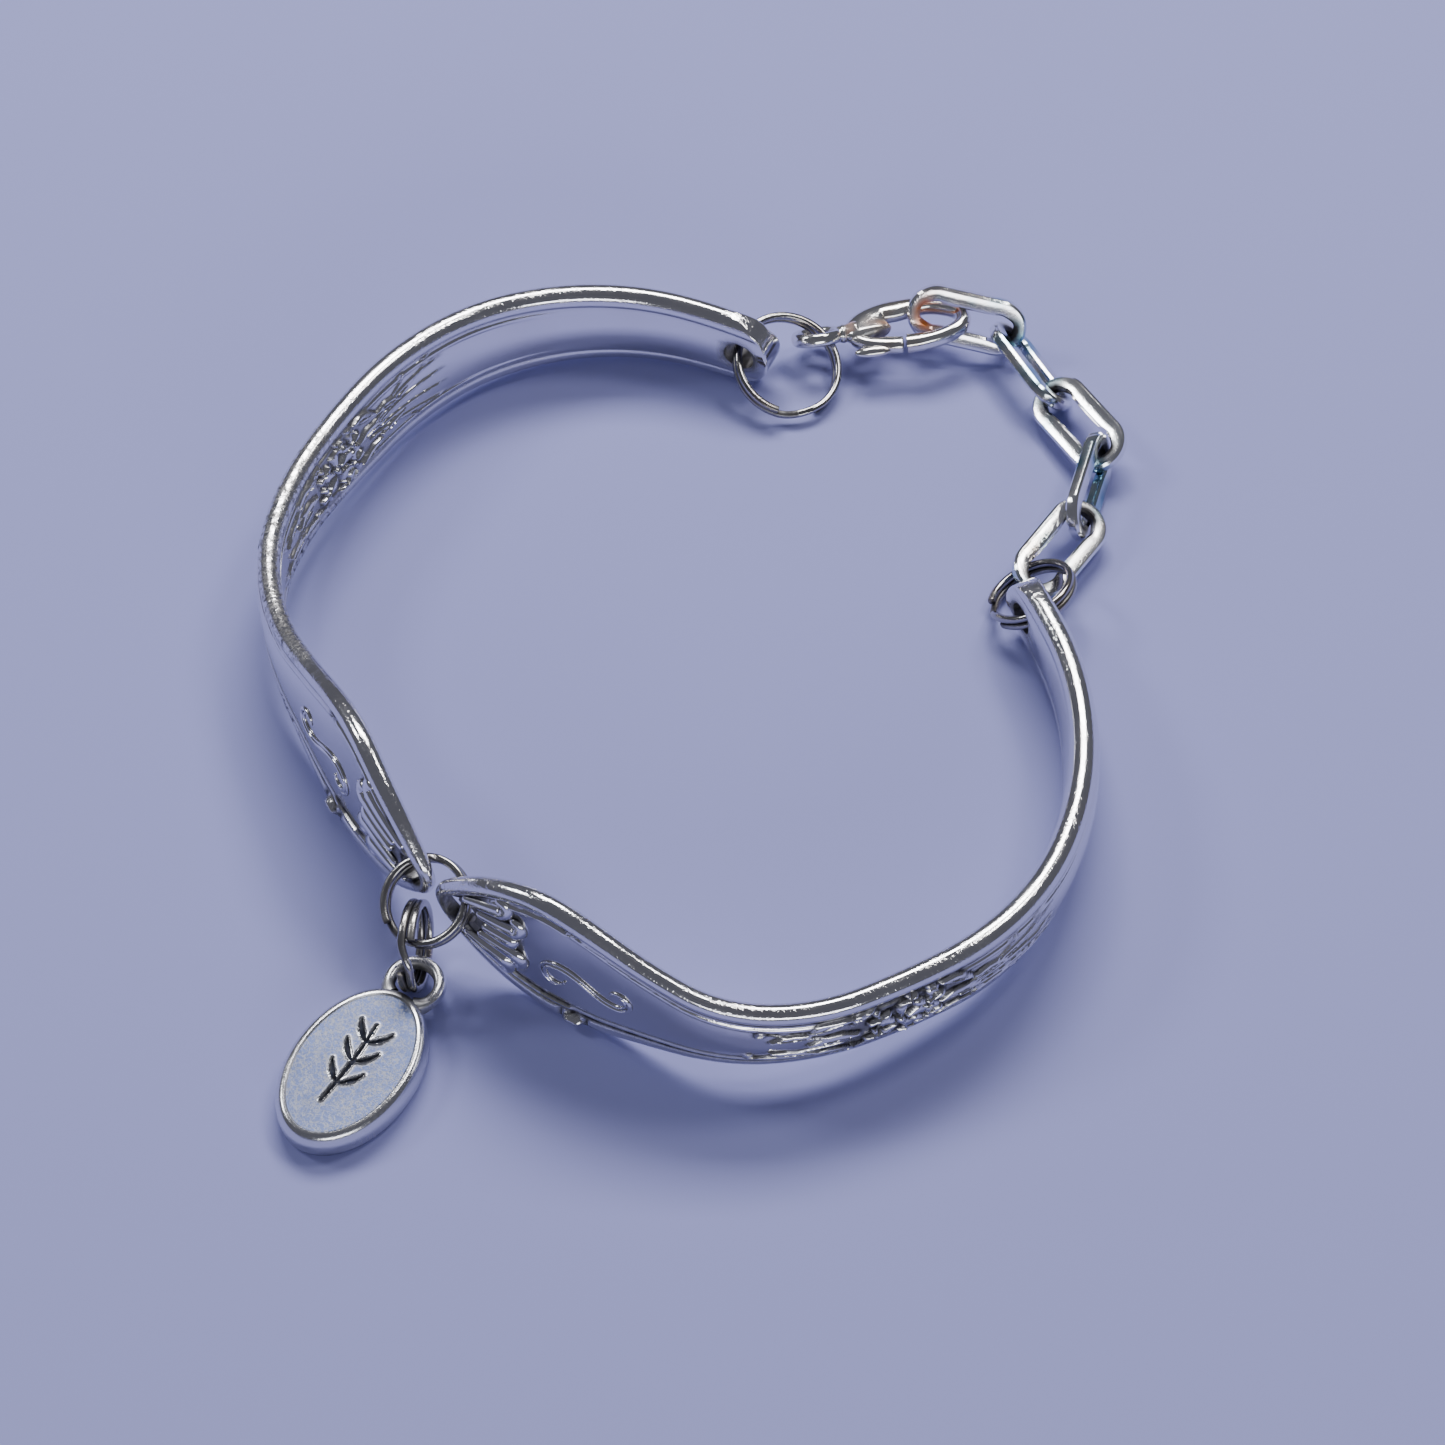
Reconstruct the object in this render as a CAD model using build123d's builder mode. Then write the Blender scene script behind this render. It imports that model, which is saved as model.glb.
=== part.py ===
"""Bracelet of two ornamented spoon handles, joined by split rings, a charm, a clasp and five links.

The bracelet lies on its edge.  Each handle stands on its wide tip and on its narrow cut end.
+X runs to the right, +Y away from the wearer's side with the charm, +Z up from the surface.
All sizes are in millimetres and all angles in degrees.
"""

import os
from math import cos, radians, sin, sqrt

from build123d import *

# Handles
handle_width = 13.0            # widest place, just behind the tip
handle_thickness = 2.35        # middle of the cut end
left_length = 80.7             # along the bent middle line
right_length = 75.1
border_proud = 0.22            # how far the border stands above the panel
tip_standing = 0.12            # share of the length where the wide tip stands on the surface
tip_hole_radius = 1.3
tip_hole_inset = 2.1           # from the tip to the hole's middle
end_hole_radius = 1.25
end_hole_inset = 2.5
end_trim = 0.1                 # taken off the cut end as it is rounded
section_count = 24             # evenly spaced sections that the handle's form is lofted through
relief_height = 0.28           # of the cast ornament
relief_sunk = 0.3              # how deep each ornament is rooted in the panel
inner_crown = 0.4              # of the inner face, as a share of the outer face's crown
border_limit = 0.8             # the widest border, as a share of the half width
flute_length = 3.4             # of the fan at the tip
flute_width = 0.95
flute_turns = (-52, -26, 0, 26, 52)
fan_share = 0.074              # where the fan's middle is along the handle
fan_spread = 0.30              # how far its flutes spread, as a share of the width
fan_opening = 0.55             # how far each flute turns with its place in the fan
bud_size = 1.5
bud_share = 0.17
bud_turn = 12
scroll_radius = 1.5
scroll_band = 0.55
scroll_turn = 200
flower_share = 0.48            # where the flower is along the handle
petal_count = 5
petal_length = 2.1
petal_width = 1.3
leaf_length = 3.6
leaf_width = 1.4
leaf_step = 0.05               # from the flower to its leaves, as a share of the length
leaf_rise = 0.16               # and as a share of the width
leaf_turn = 24

# Where the handles start, and the direction in which they leave the tips
left_tip = (-19.42, -17.93)
left_heading = 129.0
right_tip = (-19.15, -18.17)
right_heading = -33.1

# Rings of double-wound round wire.  Each hangs to one side of the holes that it passes
# through, and its slack is how far its wire lies from their middles.
ring_wire = 0.56
ring_coil_gap = 0.05
ring_step = 22.0               # half the angle over which the wire steps across
tip_ring_radius = 2.95
tip_ring_hang = Vector(-0.65, -0.61, -0.44)
tip_ring_slack = 0.6
charm_ring_radius = 2.9
charm_ring_normal = Vector(0.987, -0.139, 0.081)
charm_ring_hang = Vector(0.31, 1.85, 2.01)
charm_ring_slack = 0.15
clasp_ring_radius = 3.95
clasp_ring_hang = Vector(0.19, -0.92, -0.33)
clasp_ring_slack = 0.6
chain_ring_radius = 3.1
chain_ring_normal = Vector(-0.45, 0.31, 0.84)
chain_ring_hang = Vector(-0.17, 0.885, -0.435)
chain_ring_slack = 0.48

# Charm
charm_length = 12.9
charm_width = 8.7
charm_thickness = 2.3
charm_edge = 0.55
charm_direction = 59.0
charm_loop_place = (-20.83, -22.34)
charm_loop_height = 1.4         # of the loop's middle
charm_loop_radius = 1.75       # to the middle of the loop's bar
charm_loop_bar = 0.85
charm_loop_thickness = 0.9
charm_loop_reach = 7.45        # from the charm's middle to the loop's middle
sprig_length = 6.6
sprig_stem = 0.4
sprig_depth = 0.2
leaflet_length = 2.0
leaflet_width = 0.8
leaflet_turn = 38
leaflet_places = (-0.24, 0.06)  # along the sprig, as shares of its length

# Clasp, measured along it from the eye's middle
clasp_thickness = 1.6
clasp_eye_radius = 1.95
clasp_eye_hole = 1.25
clasp_eye_thickness = 0.8
clasp_eye_twist = 35.0         # of the eye against the claw
neck_radius = 0.62
claw_length = 9.8
claw_width = 5.2
claw_wall = 1.2
claw_reach = 6.9               # to the claw's middle
claw_rounding = 0.45
claw_palm = 4.8                # the claw is solid from its root to here
gate_start = 3.5               # the lever's pin
gate_reach = 3.1               # from the pin to the hook's tip
gate_gap = 0.12
gate_thickness = 0.8
hub_radius = 0.6
pin_radius = 0.26
pin_clearance = 0.06
thumb_radius = 0.6
thumb_place = (-0.35, -0.9)    # the thumb knob's middle, from the pin

# Links
link_length = 9.2
link_width = 4.5
link_band = 1.15
link_thickness = 0.95
link_facet = 0.3

# The facing scrolls: share of the length, rise as a share of the width, start of the bow.
SCROLLS = [
    (0.150, 0.16, 200),
    (0.195, -0.08, 20),
]

# The handle's form, from its tip to its cut end, shared by both handles.
# Columns: share of the length, share of the width, panel share and crown share of the
# thickness, and the border's width as a share of the half width.
HANDLE_FORM = [
    (0.000, 0.13, 0.36, 0.02, 0.50),
    (0.020, 0.39, 0.38, 0.03, 0.30),
    (0.046, 0.66, 0.38, 0.04, 0.22),
    (0.080, 0.88, 0.38, 0.05, 0.19),
    (0.120, 1.00, 0.40, 0.06, 0.18),
    (0.170, 0.93, 0.42, 0.07, 0.18),
    (0.225, 0.74, 0.46, 0.09, 0.20),
    (0.285, 0.57, 0.52, 0.12, 0.24),
    (0.360, 0.51, 0.58, 0.15, 0.26),
    (0.450, 0.55, 0.62, 0.17, 0.26),
    (0.560, 0.60, 0.66, 0.19, 0.26),
    (0.680, 0.59, 0.70, 0.21, 0.27),
    (0.820, 0.55, 0.72, 0.24, 0.30),
    (1.000, 0.50, 0.74, 0.26, 0.32),
]

# How each handle is bent: the turn in degrees over each twelfth of its length, positive
# towards the middle of the bracelet, and how far its upper edge leans outwards at the end of it.
LEFT_BEND = [
    (10.0, -3.0), (-1.0, -6.0), (2.5, -5.0), (17.0, -2.0), (24.5, 2.0), (14.5, 5.0),
    (5.5, 7.0), (15.0, 7.0), (20.5, 6.0), (18.0, 4.0), (19.0, 2.0), (9.5, 0.0),
]
RIGHT_BEND = [
    (3.0, -2.0), (-0.5, -1.0), (6.5, 0.0), (28.5, 1.0), (20.0, 3.0), (6.5, 4.0),
    (18.0, 4.0), (18.5, 3.0), (14.0, 2.0), (12.5, 0.0), (14.0, -2.0), (7.5, -4.0),
]

# How the clasp lies: its eye's middle (x, y, z), direction in plan, rise and roll.
CLASP_PLACE = (7.23, 33.98, 2.2, 4.5, 5.8, 5.2)

# The five links: middle (x, y, z), direction in plan, rise and roll of the link's plane.
LINK_PLACES = [
    (18.61, 34.83, 3.20, -9.4, -8.9, -61.0),
    (23.41, 31.45, 1.81, -61.3, -0.7, 44.0),
    (26.77, 25.66, 1.96, -58.7, 3.8, -26.9),
    (27.15, 19.61, 2.18, -107.2, 0.1, 69.2),
    (24.70, 14.06, 1.89, -125.7, -0.5, 17.3),
]

# The frame's origin, under the middle of the whole bracelet.
middle_x = -1.55
middle_y = 1.26


def table(rows, column, share):
    """Value of one column at a share of the length, smooth between the rows."""
    xs = [row[0] for row in rows]
    ys = [row[column] for row in rows]
    last = len(rows) - 1
    slopes = []
    for i in range(last + 1):
        low, high = max(i - 1, 0), min(i + 1, last)
        slopes.append((ys[high] - ys[low]) / (xs[high] - xs[low]))
    i = max(k for k in range(last) if share >= xs[k] or k == 0)
    span = xs[i + 1] - xs[i]
    t = (share - xs[i]) / span
    start = (1 + 2 * t) * (1 - t) ** 2 * ys[i] + t * (1 - t) ** 2 * span * slopes[i]
    return start + t * t * (3 - 2 * t) * ys[i + 1] + t * t * (t - 1) * span * slopes[i + 1]


class Handle:
    """One bent handle: where its middle line, edges and faces lie."""

    def __init__(self, tip, heading, length, bend, side):
        self.tip, self.heading, self.length = tip, heading, length
        self.bend, self.side = bend, side      # side +1: the middle lies to the right

    def line(self, share):
        """Middle line in plan: tangent arcs, one for each row of the bend table."""
        x, y, turned = self.tip[0] - middle_x, self.tip[1] - middle_y, self.heading
        rest = share * len(self.bend)
        for turn, _ in self.bend:
            part = min(max(rest, 0.0), 1.0)
            run = self.length / len(self.bend) * part
            half = radians(turn * part / 2 * -self.side)
            chord = run * (sin(half) / half if abs(half) > 1e-6 else 1.0)
            x += chord * cos(radians(turned) + half)
            y += chord * sin(radians(turned) + half)
            turned += turn * part * -self.side
            rest -= 1.0
        return x, y, turned

    def lean(self, share):
        """How far the upper edge leans outwards, smooth between the bend table's rows."""
        count = len(self.bend)
        rows = [(0.0, self.bend[0][1])]
        rows += [((k + 1) / count, lean) for k, (_, lean) in enumerate(self.bend)]
        return table(rows, 1, share)

    def width(self, share):
        return handle_width * table(HANDLE_FORM, 1, share)

    def height(self, share):
        """Height of the middle line: the wide tip and the cut end stand on the surface."""
        tip, end = self.width(tip_standing) / 2, self.width(1.0) / 2
        return end + (tip - end) * (1 - share) / (1 - tip_standing)

    def section(self, share):
        """Plane across the handle: x up along its width, y to the right of its direction."""
        x, y, turned = self.line(share)
        lean = radians(self.lean(share))
        across = radians(turned + 90 * self.side)
        up = (cos(across) * sin(lean), sin(across) * sin(lean), cos(lean))
        along = (cos(radians(turned)), sin(radians(turned)), 0)
        return Plane(origin=(x, y, self.height(share)), x_dir=up, z_dir=along)

    def panel(self, share):
        return handle_thickness * table(HANDLE_FORM, 2, share) / 2

    def face(self, share, up=0.0, outside=True, sunk=0.0):
        """Plane on a face: x along the handle, y across it, z out of the face."""
        plane = self.section(share)
        way = -self.side if outside else self.side
        crown = handle_thickness * table(HANDLE_FORM, 3, share) * (1.0 if outside else inner_crown)
        depth = self.panel(share) + crown * (1 - (2 * up / self.width(share)) ** 2) - sunk
        origin = plane.origin + plane.x_dir * up + plane.y_dir * (way * depth)
        return Plane(origin=origin, x_dir=plane.z_dir, z_dir=plane.y_dir * way)

    def hole(self, share):
        return self.face(share, sunk=self.panel(share)).origin


def section_outline(handle, share):
    """Closed outline of four arcs: two round borders and two crowned faces."""
    half = handle.width(share) / 2
    panel = handle.panel(share)
    crown = handle_thickness * table(HANDLE_FORM, 3, share)
    border = half * table(HANDLE_FORM, 4, share) + border_proud
    edge = half - min(border, half * border_limit)
    outer = -handle.side
    ThreePointArc((edge, panel), (half, 0), (edge, -panel))
    ThreePointArc((edge, -panel), (0, -panel - crown * (1.0 if outer < 0 else inner_crown)), (-edge, -panel))
    ThreePointArc((-edge, -panel), (-half, 0), (-edge, panel))
    ThreePointArc((-edge, panel), (0, panel + crown * (1.0 if outer > 0 else inner_crown)), (edge, panel))


def handle_blank(handle):
    """The bent handle without holes or ornament, lofted tip to end through its table."""
    sections = []
    for number in range(section_count + 1):
        share = number / section_count
        with BuildSketch(handle.section(share)) as outline:
            with BuildLine():
                section_outline(handle, share)
            make_face()
        sections.append(outline.sketch.face())
    loft(sections)
    # the cut end is a half circle as wide as the handle there
    radius = handle.width(1.0) / 2
    last = 1.0 - (radius + end_trim) / handle.length
    with BuildSketch(handle.face(last, sunk=handle.panel(last))) as end:
        with Locations((radius, 0)):
            Rectangle(2 * radius, 2.5 * radius)
        Circle(radius, mode=Mode.SUBTRACT)
    extrude(end.sketch, amount=handle_thickness * 2, both=True, mode=Mode.SUBTRACT)


def drill(handle, inset, radius, from_tip):
    """Hole through the handle, square to its face."""
    share = inset / handle.length if from_tip else 1.0 - inset / handle.length
    with BuildSketch(handle.face(share, sunk=handle.panel(share))) as hole:
        Circle(radius)
    extrude(hole.sketch, amount=handle_thickness, both=True, mode=Mode.SUBTRACT)


def raised(plane, motif):
    """One cast ornament: its outline raised out of the face."""
    return extrude(motif.sketch, amount=relief_sunk + relief_height, dir=plane.z_dir, mode=Mode.PRIVATE)


def fan(handle, outside):
    """Short flutes that spread from the hole towards the tip's two shoulders."""
    for turn in flute_turns:
        up = handle.width(fan_share) * fan_spread * sin(radians(turn))
        plane = handle.face(fan_share, up, outside, relief_sunk)
        with BuildSketch(plane) as flute:
            Ellipse(flute_length / 2, flute_width / 2, rotation=turn * fan_opening)
        yield raised(plane, flute)


def scrolls(handle, outside):
    """Two facing S scrolls and a bud on each border where the wide tip ends."""
    for share, up, start in SCROLLS:
        plane = handle.face(share, up * handle_width, outside, relief_sunk)
        with BuildSketch(plane) as scroll:
            with BuildLine(mode=Mode.PRIVATE) as bow:
                CenterArc((0, 0), scroll_radius, start, scroll_turn)
            SlotArc(bow.edges()[0], scroll_band)
        yield raised(plane, scroll)
    for side in (-1, 1):
        up = side * (handle.width(bud_share) / 2 - bud_size * 0.75)
        plane = handle.face(bud_share, up, outside, relief_sunk)
        with BuildSketch(plane) as bud:
            Ellipse(bud_size, bud_size / 2, rotation=-bud_turn * side)
        yield raised(plane, bud)


def flower(handle, outside):
    """A flower with two leaves before and two behind it, on the middle of the handle."""
    plane = handle.face(flower_share, 0, outside, relief_sunk)
    for petal in PolarLocations(petal_length * 0.55, petal_count):
        with BuildSketch(plane) as bloom:
            with Locations(petal):
                Ellipse(petal_length / 2, petal_width / 2)
        yield raised(plane, bloom)
    with BuildSketch(plane) as heart:
        Circle(petal_width / 2)
    yield raised(plane, heart)
    for ahead in (-1, 1):
        for side in (-1, 1):
            share = flower_share + ahead * leaf_step
            up = side * leaf_rise * handle.width(share)
            plane = handle.face(share, up, outside, relief_sunk)
            with BuildSketch(plane) as leaf:
                Ellipse(leaf_length / 2, leaf_width / 2, rotation=ahead * side * leaf_turn)
            yield raised(plane, leaf)


def ornament(handle):
    """Both faces carry the same ornament."""
    for outside in (True, False):
        add([*fan(handle, outside), *scrolls(handle, outside), *flower(handle, outside)])


left = Handle(left_tip, left_heading, left_length, LEFT_BEND, 1)
right = Handle(right_tip, right_heading, right_length, RIGHT_BEND, -1)

with BuildPart() as handle_left:
    handle_blank(left)
    ornament(left)
    drill(left, tip_hole_inset, tip_hole_radius, True)
    drill(left, end_hole_inset, end_hole_radius, False)

with BuildPart() as handle_right:
    handle_blank(right)
    ornament(right)
    drill(right, tip_hole_inset, tip_hole_radius, True)
    drill(right, end_hole_inset, end_hole_radius, False)

left_tip_hole = left.hole(tip_hole_inset / left_length)
right_tip_hole = right.hole(tip_hole_inset / right_length)
left_end_hole = left.hole(1 - end_hole_inset / left_length)
right_end_hole = right.hole(1 - end_hole_inset / right_length)


def square_to(direction, axis):
    """The share of a direction that is square to an axis, one unit long."""
    axis = axis.normalized()
    return (direction - axis * direction.dot(axis)).normalized()


def ring_between(first, second, hang, radius, slack):
    """Ring plane through two holes, its middle hanging to one side of them."""
    chord = second - first
    towards = square_to(hang, chord)
    reach = sqrt(radius**2 - (chord.length / 2) ** 2) - slack
    return Plane(origin=(first + second) * 0.5 + towards * reach, x_dir=towards, z_dir=chord.cross(towards))


def ring_from(seat, normal, hang, radius, slack):
    """Ring plane through one hole, with its normal and the side that its middle hangs to."""
    towards = square_to(hang, normal)
    return Plane(origin=seat + towards * (radius - slack), x_dir=normal.cross(towards), z_dir=normal)


def split_ring(plane, radius):
    """Two flat turns of round wire, side by side, with a step across between their ends."""
    side = (ring_wire + ring_coil_gap) / 2
    turn = 360 - 2 * ring_step
    with BuildLine(plane) as coil:
        first = CenterArc((0, 0, -side), radius, ring_step, turn)
        second = CenterArc((0, 0, side), radius, ring_step, turn)
        Spline(first @ 1, (radius, 0, 0), second @ 0, tangents=(first % 1, second % 0))
    with BuildSketch(Plane(origin=first @ 0, z_dir=first % 0)) as wire:
        Circle(ring_wire / 2)
    sweep(wire.sketch, path=coil.wire())


tip_ring_plane = ring_between(left_tip_hole, right_tip_hole, tip_ring_hang, tip_ring_radius, tip_ring_slack)
with BuildPart() as tip_ring:
    split_ring(tip_ring_plane, tip_ring_radius)

# The charm lies flat, its loop towards the tips
charm_away = Vector(cos(radians(charm_direction)), sin(radians(charm_direction)), 0)
charm_loop_middle = Vector(charm_loop_place[0] - middle_x, charm_loop_place[1] - middle_y, charm_loop_height)
charm_foot = charm_loop_middle - charm_away * charm_loop_reach - Vector(0, 0, charm_loop_height)
charm_plane = Plane(origin=charm_foot, x_dir=charm_away, z_dir=(0, 0, 1))
with BuildPart() as charm:
    with BuildSketch(charm_plane):
        Ellipse(charm_length / 2, charm_width / 2)
    extrude(amount=charm_thickness)
    chamfer(charm.edges().filter_by(GeomType.ELLIPSE), charm_edge)
    with BuildSketch(charm_plane.offset(charm_loop_height)):
        with Locations((charm_loop_reach, 0)):
            Circle(charm_loop_radius + charm_loop_bar / 2)
            Circle(charm_loop_radius - charm_loop_bar / 2, mode=Mode.SUBTRACT)
    extrude(amount=charm_loop_thickness / 2, both=True)
    # a plain sprig, sunk into the flat face
    with BuildSketch(charm_plane.offset(charm_thickness)):
        SlotOverall(sprig_length, sprig_stem)
        for along in leaflet_places:
            for side in (-1, 1):
                with Locations((along * sprig_length, side * leaflet_length * 0.45)):
                    Ellipse(leaflet_length / 2, leaflet_width / 2, rotation=side * leaflet_turn)
    extrude(amount=-sprig_depth, mode=Mode.SUBTRACT)

# The charm's ring stands nearly on edge, round the tip ring's lowest wire and through the loop
charm_ring_plane = ring_from(
    charm_loop_middle, charm_ring_normal, charm_ring_hang, charm_ring_radius, charm_ring_slack
)
with BuildPart() as charm_ring:
    split_ring(charm_ring_plane, charm_ring_radius)


def lying_plane(place, twist=0.0):
    """Plane of a lying piece: x along it, turned about its length by the roll."""
    x, y, z, direction, rise, roll = place
    along = Vector(
        cos(radians(direction)) * cos(radians(rise)),
        sin(radians(direction)) * cos(radians(rise)),
        sin(radians(rise)),
    )
    aside = Vector(-sin(radians(direction)), cos(radians(direction)), 0)
    over = along.cross(aside)
    normal = over * cos(radians(roll + twist)) + aside * sin(radians(roll + twist))
    return Plane(origin=(x - middle_x, y - middle_y, z), x_dir=along, z_dir=normal)


# Clasp: the eye at one end, the claw at the other, the lever on its near side
clasp_plane = lying_plane(CLASP_PLACE)
eye_plane = lying_plane(CLASP_PLACE, clasp_eye_twist)
pin_share = (claw_reach - gate_start) / (claw_length / 2 - claw_wall / 2)
pin_place = (gate_start, -(claw_width - claw_wall) / 2 * sqrt(1 - pin_share**2))

clasp_ring_plane = ring_between(
    left_end_hole, eye_plane.origin, clasp_ring_hang, clasp_ring_radius, clasp_ring_slack
)
with BuildPart() as clasp_ring:
    split_ring(clasp_ring_plane, clasp_ring_radius)

with BuildPart() as clasp_body:
    with BuildSketch(clasp_plane):
        with Locations((claw_reach, 0)):
            Ellipse(claw_length / 2, claw_width / 2)
    extrude(amount=clasp_thickness / 2, both=True)
    fillet(clasp_body.edges().filter_by(GeomType.ELLIPSE), claw_rounding)
    # the opening, from the palm to the far end
    with BuildSketch(clasp_plane):
        with Locations((claw_reach, 0)):
            Ellipse(claw_length / 2 - claw_wall, claw_width / 2 - claw_wall)
        with Locations((claw_palm, 0)):
            Rectangle(claw_length, claw_width, align=(Align.MIN, Align.CENTER), mode=Mode.INTERSECT)
    extrude(amount=clasp_thickness, both=True, mode=Mode.SUBTRACT)
    # the slot at the lever's root
    with BuildSketch(clasp_plane):
        with Locations((gate_start - hub_radius - gate_gap, pin_place[1] + hub_radius + gate_gap)):
            Rectangle(2 * gate_reach, claw_width, align=(Align.MIN, Align.MAX))
        with Locations(pin_place):
            Circle(gate_reach, mode=Mode.INTERSECT)
    extrude(amount=gate_thickness / 2 + gate_gap, both=True, mode=Mode.SUBTRACT)
    # the mouth that the lever closes
    with BuildSketch(clasp_plane):
        with Locations(pin_place):
            Circle(gate_reach)
        with Locations((gate_start + hub_radius + gate_gap, 0)):
            Rectangle(2 * gate_reach, claw_width, align=(Align.MIN, Align.MAX), mode=Mode.INTERSECT)
    extrude(amount=clasp_thickness, both=True, mode=Mode.SUBTRACT)
    # the pin between the two cheeks
    with BuildSketch(clasp_plane):
        with Locations(pin_place):
            Circle(pin_radius)
    extrude(amount=clasp_thickness / 2, both=True)
    # the neck and the eye
    neck_start = (clasp_eye_radius + clasp_eye_hole) / 2
    neck_end = claw_reach - claw_length / 2 + claw_wall * 0.7
    neck_foot = clasp_plane.origin + clasp_plane.x_dir * neck_start
    with BuildSketch(Plane(origin=neck_foot, z_dir=clasp_plane.x_dir)):
        Circle(neck_radius)
    extrude(amount=neck_end - neck_start)
    with BuildSketch(eye_plane):
        Circle(clasp_eye_radius)
        Circle(clasp_eye_hole, mode=Mode.SUBTRACT)
    extrude(amount=clasp_eye_thickness / 2, both=True)

with BuildPart() as clasp_lever:
    with BuildSketch(clasp_plane):
        with Locations((claw_reach, 0)):
            Ellipse(claw_length / 2, claw_width / 2)
            Ellipse(claw_length / 2 - claw_wall, claw_width / 2 - claw_wall, mode=Mode.SUBTRACT)
        with Locations(pin_place):
            Circle(gate_reach - gate_gap, mode=Mode.INTERSECT)
        with Locations((gate_start, 0)):
            Rectangle(2 * gate_reach, claw_width, align=(Align.MIN, Align.MAX), mode=Mode.INTERSECT)
        with Locations(pin_place):
            Circle(hub_radius)
        with Locations((gate_start + thumb_place[0], pin_place[1] + thumb_place[1])):
            Circle(thumb_radius)
        with Locations(pin_place):
            Circle(pin_radius + pin_clearance, mode=Mode.SUBTRACT)
    extrude(amount=gate_thickness / 2, both=True)

links = []
for place in LINK_PLACES:
    link_plane = lying_plane(place)
    with BuildPart() as link:
        with BuildSketch(link_plane):
            SlotOverall(link_length, link_width)
            SlotOverall(link_length - 2 * link_band, link_width - 2 * link_band, mode=Mode.SUBTRACT)
        extrude(amount=link_thickness / 2, both=True)
        flats = link.faces().filter_by(GeomType.PLANE).filter_by(link_plane)
        chamfer(flats.edges(), link_facet)
    links.append(link)

chain_ring_plane = ring_from(
    right_end_hole, chain_ring_normal, chain_ring_hang, chain_ring_radius, chain_ring_slack
)
with BuildPart() as chain_ring:
    split_ring(chain_ring_plane, chain_ring_radius)

os.makedirs("parts", exist_ok=True)
handle_left.part.label = "handle_left"
handle_right.part.label = "handle_right"
tip_ring.part.label = "tip_ring"
charm_ring.part.label = "charm_ring"
charm.part.label = "charm"
clasp_ring.part.label = "clasp_ring"
chain_ring.part.label = "chain_ring"
clasp_body.part.label = "clasp_body"
clasp_lever.part.label = "clasp_lever"
export_step(handle_left.part, "parts/handle_left.step")
export_step(handle_right.part, "parts/handle_right.step")
export_step(tip_ring.part, "parts/tip_ring.step")
export_step(charm_ring.part, "parts/charm_ring.step")
export_step(charm.part, "parts/charm.step")
export_step(clasp_ring.part, "parts/clasp_ring.step")
export_step(chain_ring.part, "parts/chain_ring.step")
export_step(clasp_body.part, "parts/clasp_body.step")
export_step(clasp_lever.part, "parts/clasp_lever.step")
for number, link in enumerate(links, 1):
    link.part.label = f"link_{number}"
    export_step(link.part, f"parts/link_{number}.step")
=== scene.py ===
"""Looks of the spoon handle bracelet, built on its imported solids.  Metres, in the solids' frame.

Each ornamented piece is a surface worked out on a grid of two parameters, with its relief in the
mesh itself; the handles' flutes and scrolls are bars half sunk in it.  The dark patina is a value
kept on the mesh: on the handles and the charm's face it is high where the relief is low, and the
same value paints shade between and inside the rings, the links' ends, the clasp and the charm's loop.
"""

from math import radians

import bmesh
import bpy
import numpy as np
from bpy.props import FloatProperty, FloatVectorProperty, PointerProperty
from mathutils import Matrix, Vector


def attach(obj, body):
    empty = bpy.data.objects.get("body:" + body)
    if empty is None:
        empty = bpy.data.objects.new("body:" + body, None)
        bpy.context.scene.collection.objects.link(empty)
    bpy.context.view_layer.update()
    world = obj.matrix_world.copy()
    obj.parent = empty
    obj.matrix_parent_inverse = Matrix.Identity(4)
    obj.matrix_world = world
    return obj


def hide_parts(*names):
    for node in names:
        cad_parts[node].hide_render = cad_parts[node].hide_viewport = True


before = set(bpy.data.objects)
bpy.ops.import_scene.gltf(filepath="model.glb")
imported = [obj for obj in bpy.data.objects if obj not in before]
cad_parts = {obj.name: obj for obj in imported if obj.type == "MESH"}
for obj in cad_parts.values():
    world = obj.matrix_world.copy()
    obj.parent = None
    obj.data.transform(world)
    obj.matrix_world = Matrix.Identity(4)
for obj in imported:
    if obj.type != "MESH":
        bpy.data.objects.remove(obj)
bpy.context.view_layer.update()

bl_info = {
    "name": "Spoon Handle Bracelet",
    "version": (1, 0, 0),
    "blender": (4, 5, 0),
    "location": "View3D > Sidebar > Bracelet",
    "description": "Ornamented handles, rings, charm, clasp and links of a spoon handle bracelet",
    "category": "Add Mesh",
}

MM = 0.001
BODY = "bracelet"
LEVER = "lever"

# The frame's origin in the drawing of the bracelet's plan, in millimetres.
MIDDLE = np.array([-1.55, 1.26])

# Handles, in millimetres.
HANDLE_WIDTH = 13.0
HANDLE_THICKNESS = 2.35
BORDER_PROUD = 0.22
TIP_STANDING = 0.12             # share of the length where the wide tip stands on the surface
INNER_CROWN = 0.4               # the inner face's crown as a share of the outer face's
END_TRIM = 0.1                  # left off the cut end
TIP_HOLE = (2.1, 1.3)           # inset from the tip, radius
END_HOLE = (2.5, 1.25)          # inset from the cut end, radius
TIP_ROUND = 0.6                 # length over which the outline closes at the tip
END_BEVEL = 0.22                # rounding of the cut end's corner
HOLE_LIP = (0.10, 0.16)         # depth and reach of a hole's rounded lip
PANEL_COLUMNS, EDGE_COLUMNS = 97, 14
BEAD_SHARE = 0.15               # share of the half width where columns close up to the edge
THREAD_AT, THREAD_HALF = 0.42, 0.19     # the thread's middle beyond the border, and its half width
THREAD_FADES = (0.60, 0.25)     # shares of the length: where the thread starts to fade, and over how long
GROUND_DEPTH = 0.09             # how much lower the ground of the fan and the flower lies
FAN_HALF, FLOWER_REACH = 3.6, 5.2       # half width of the fan's ground, half length of the flower's
COARSE_STEP = 0.62              # between sections where the handle is plain

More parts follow.
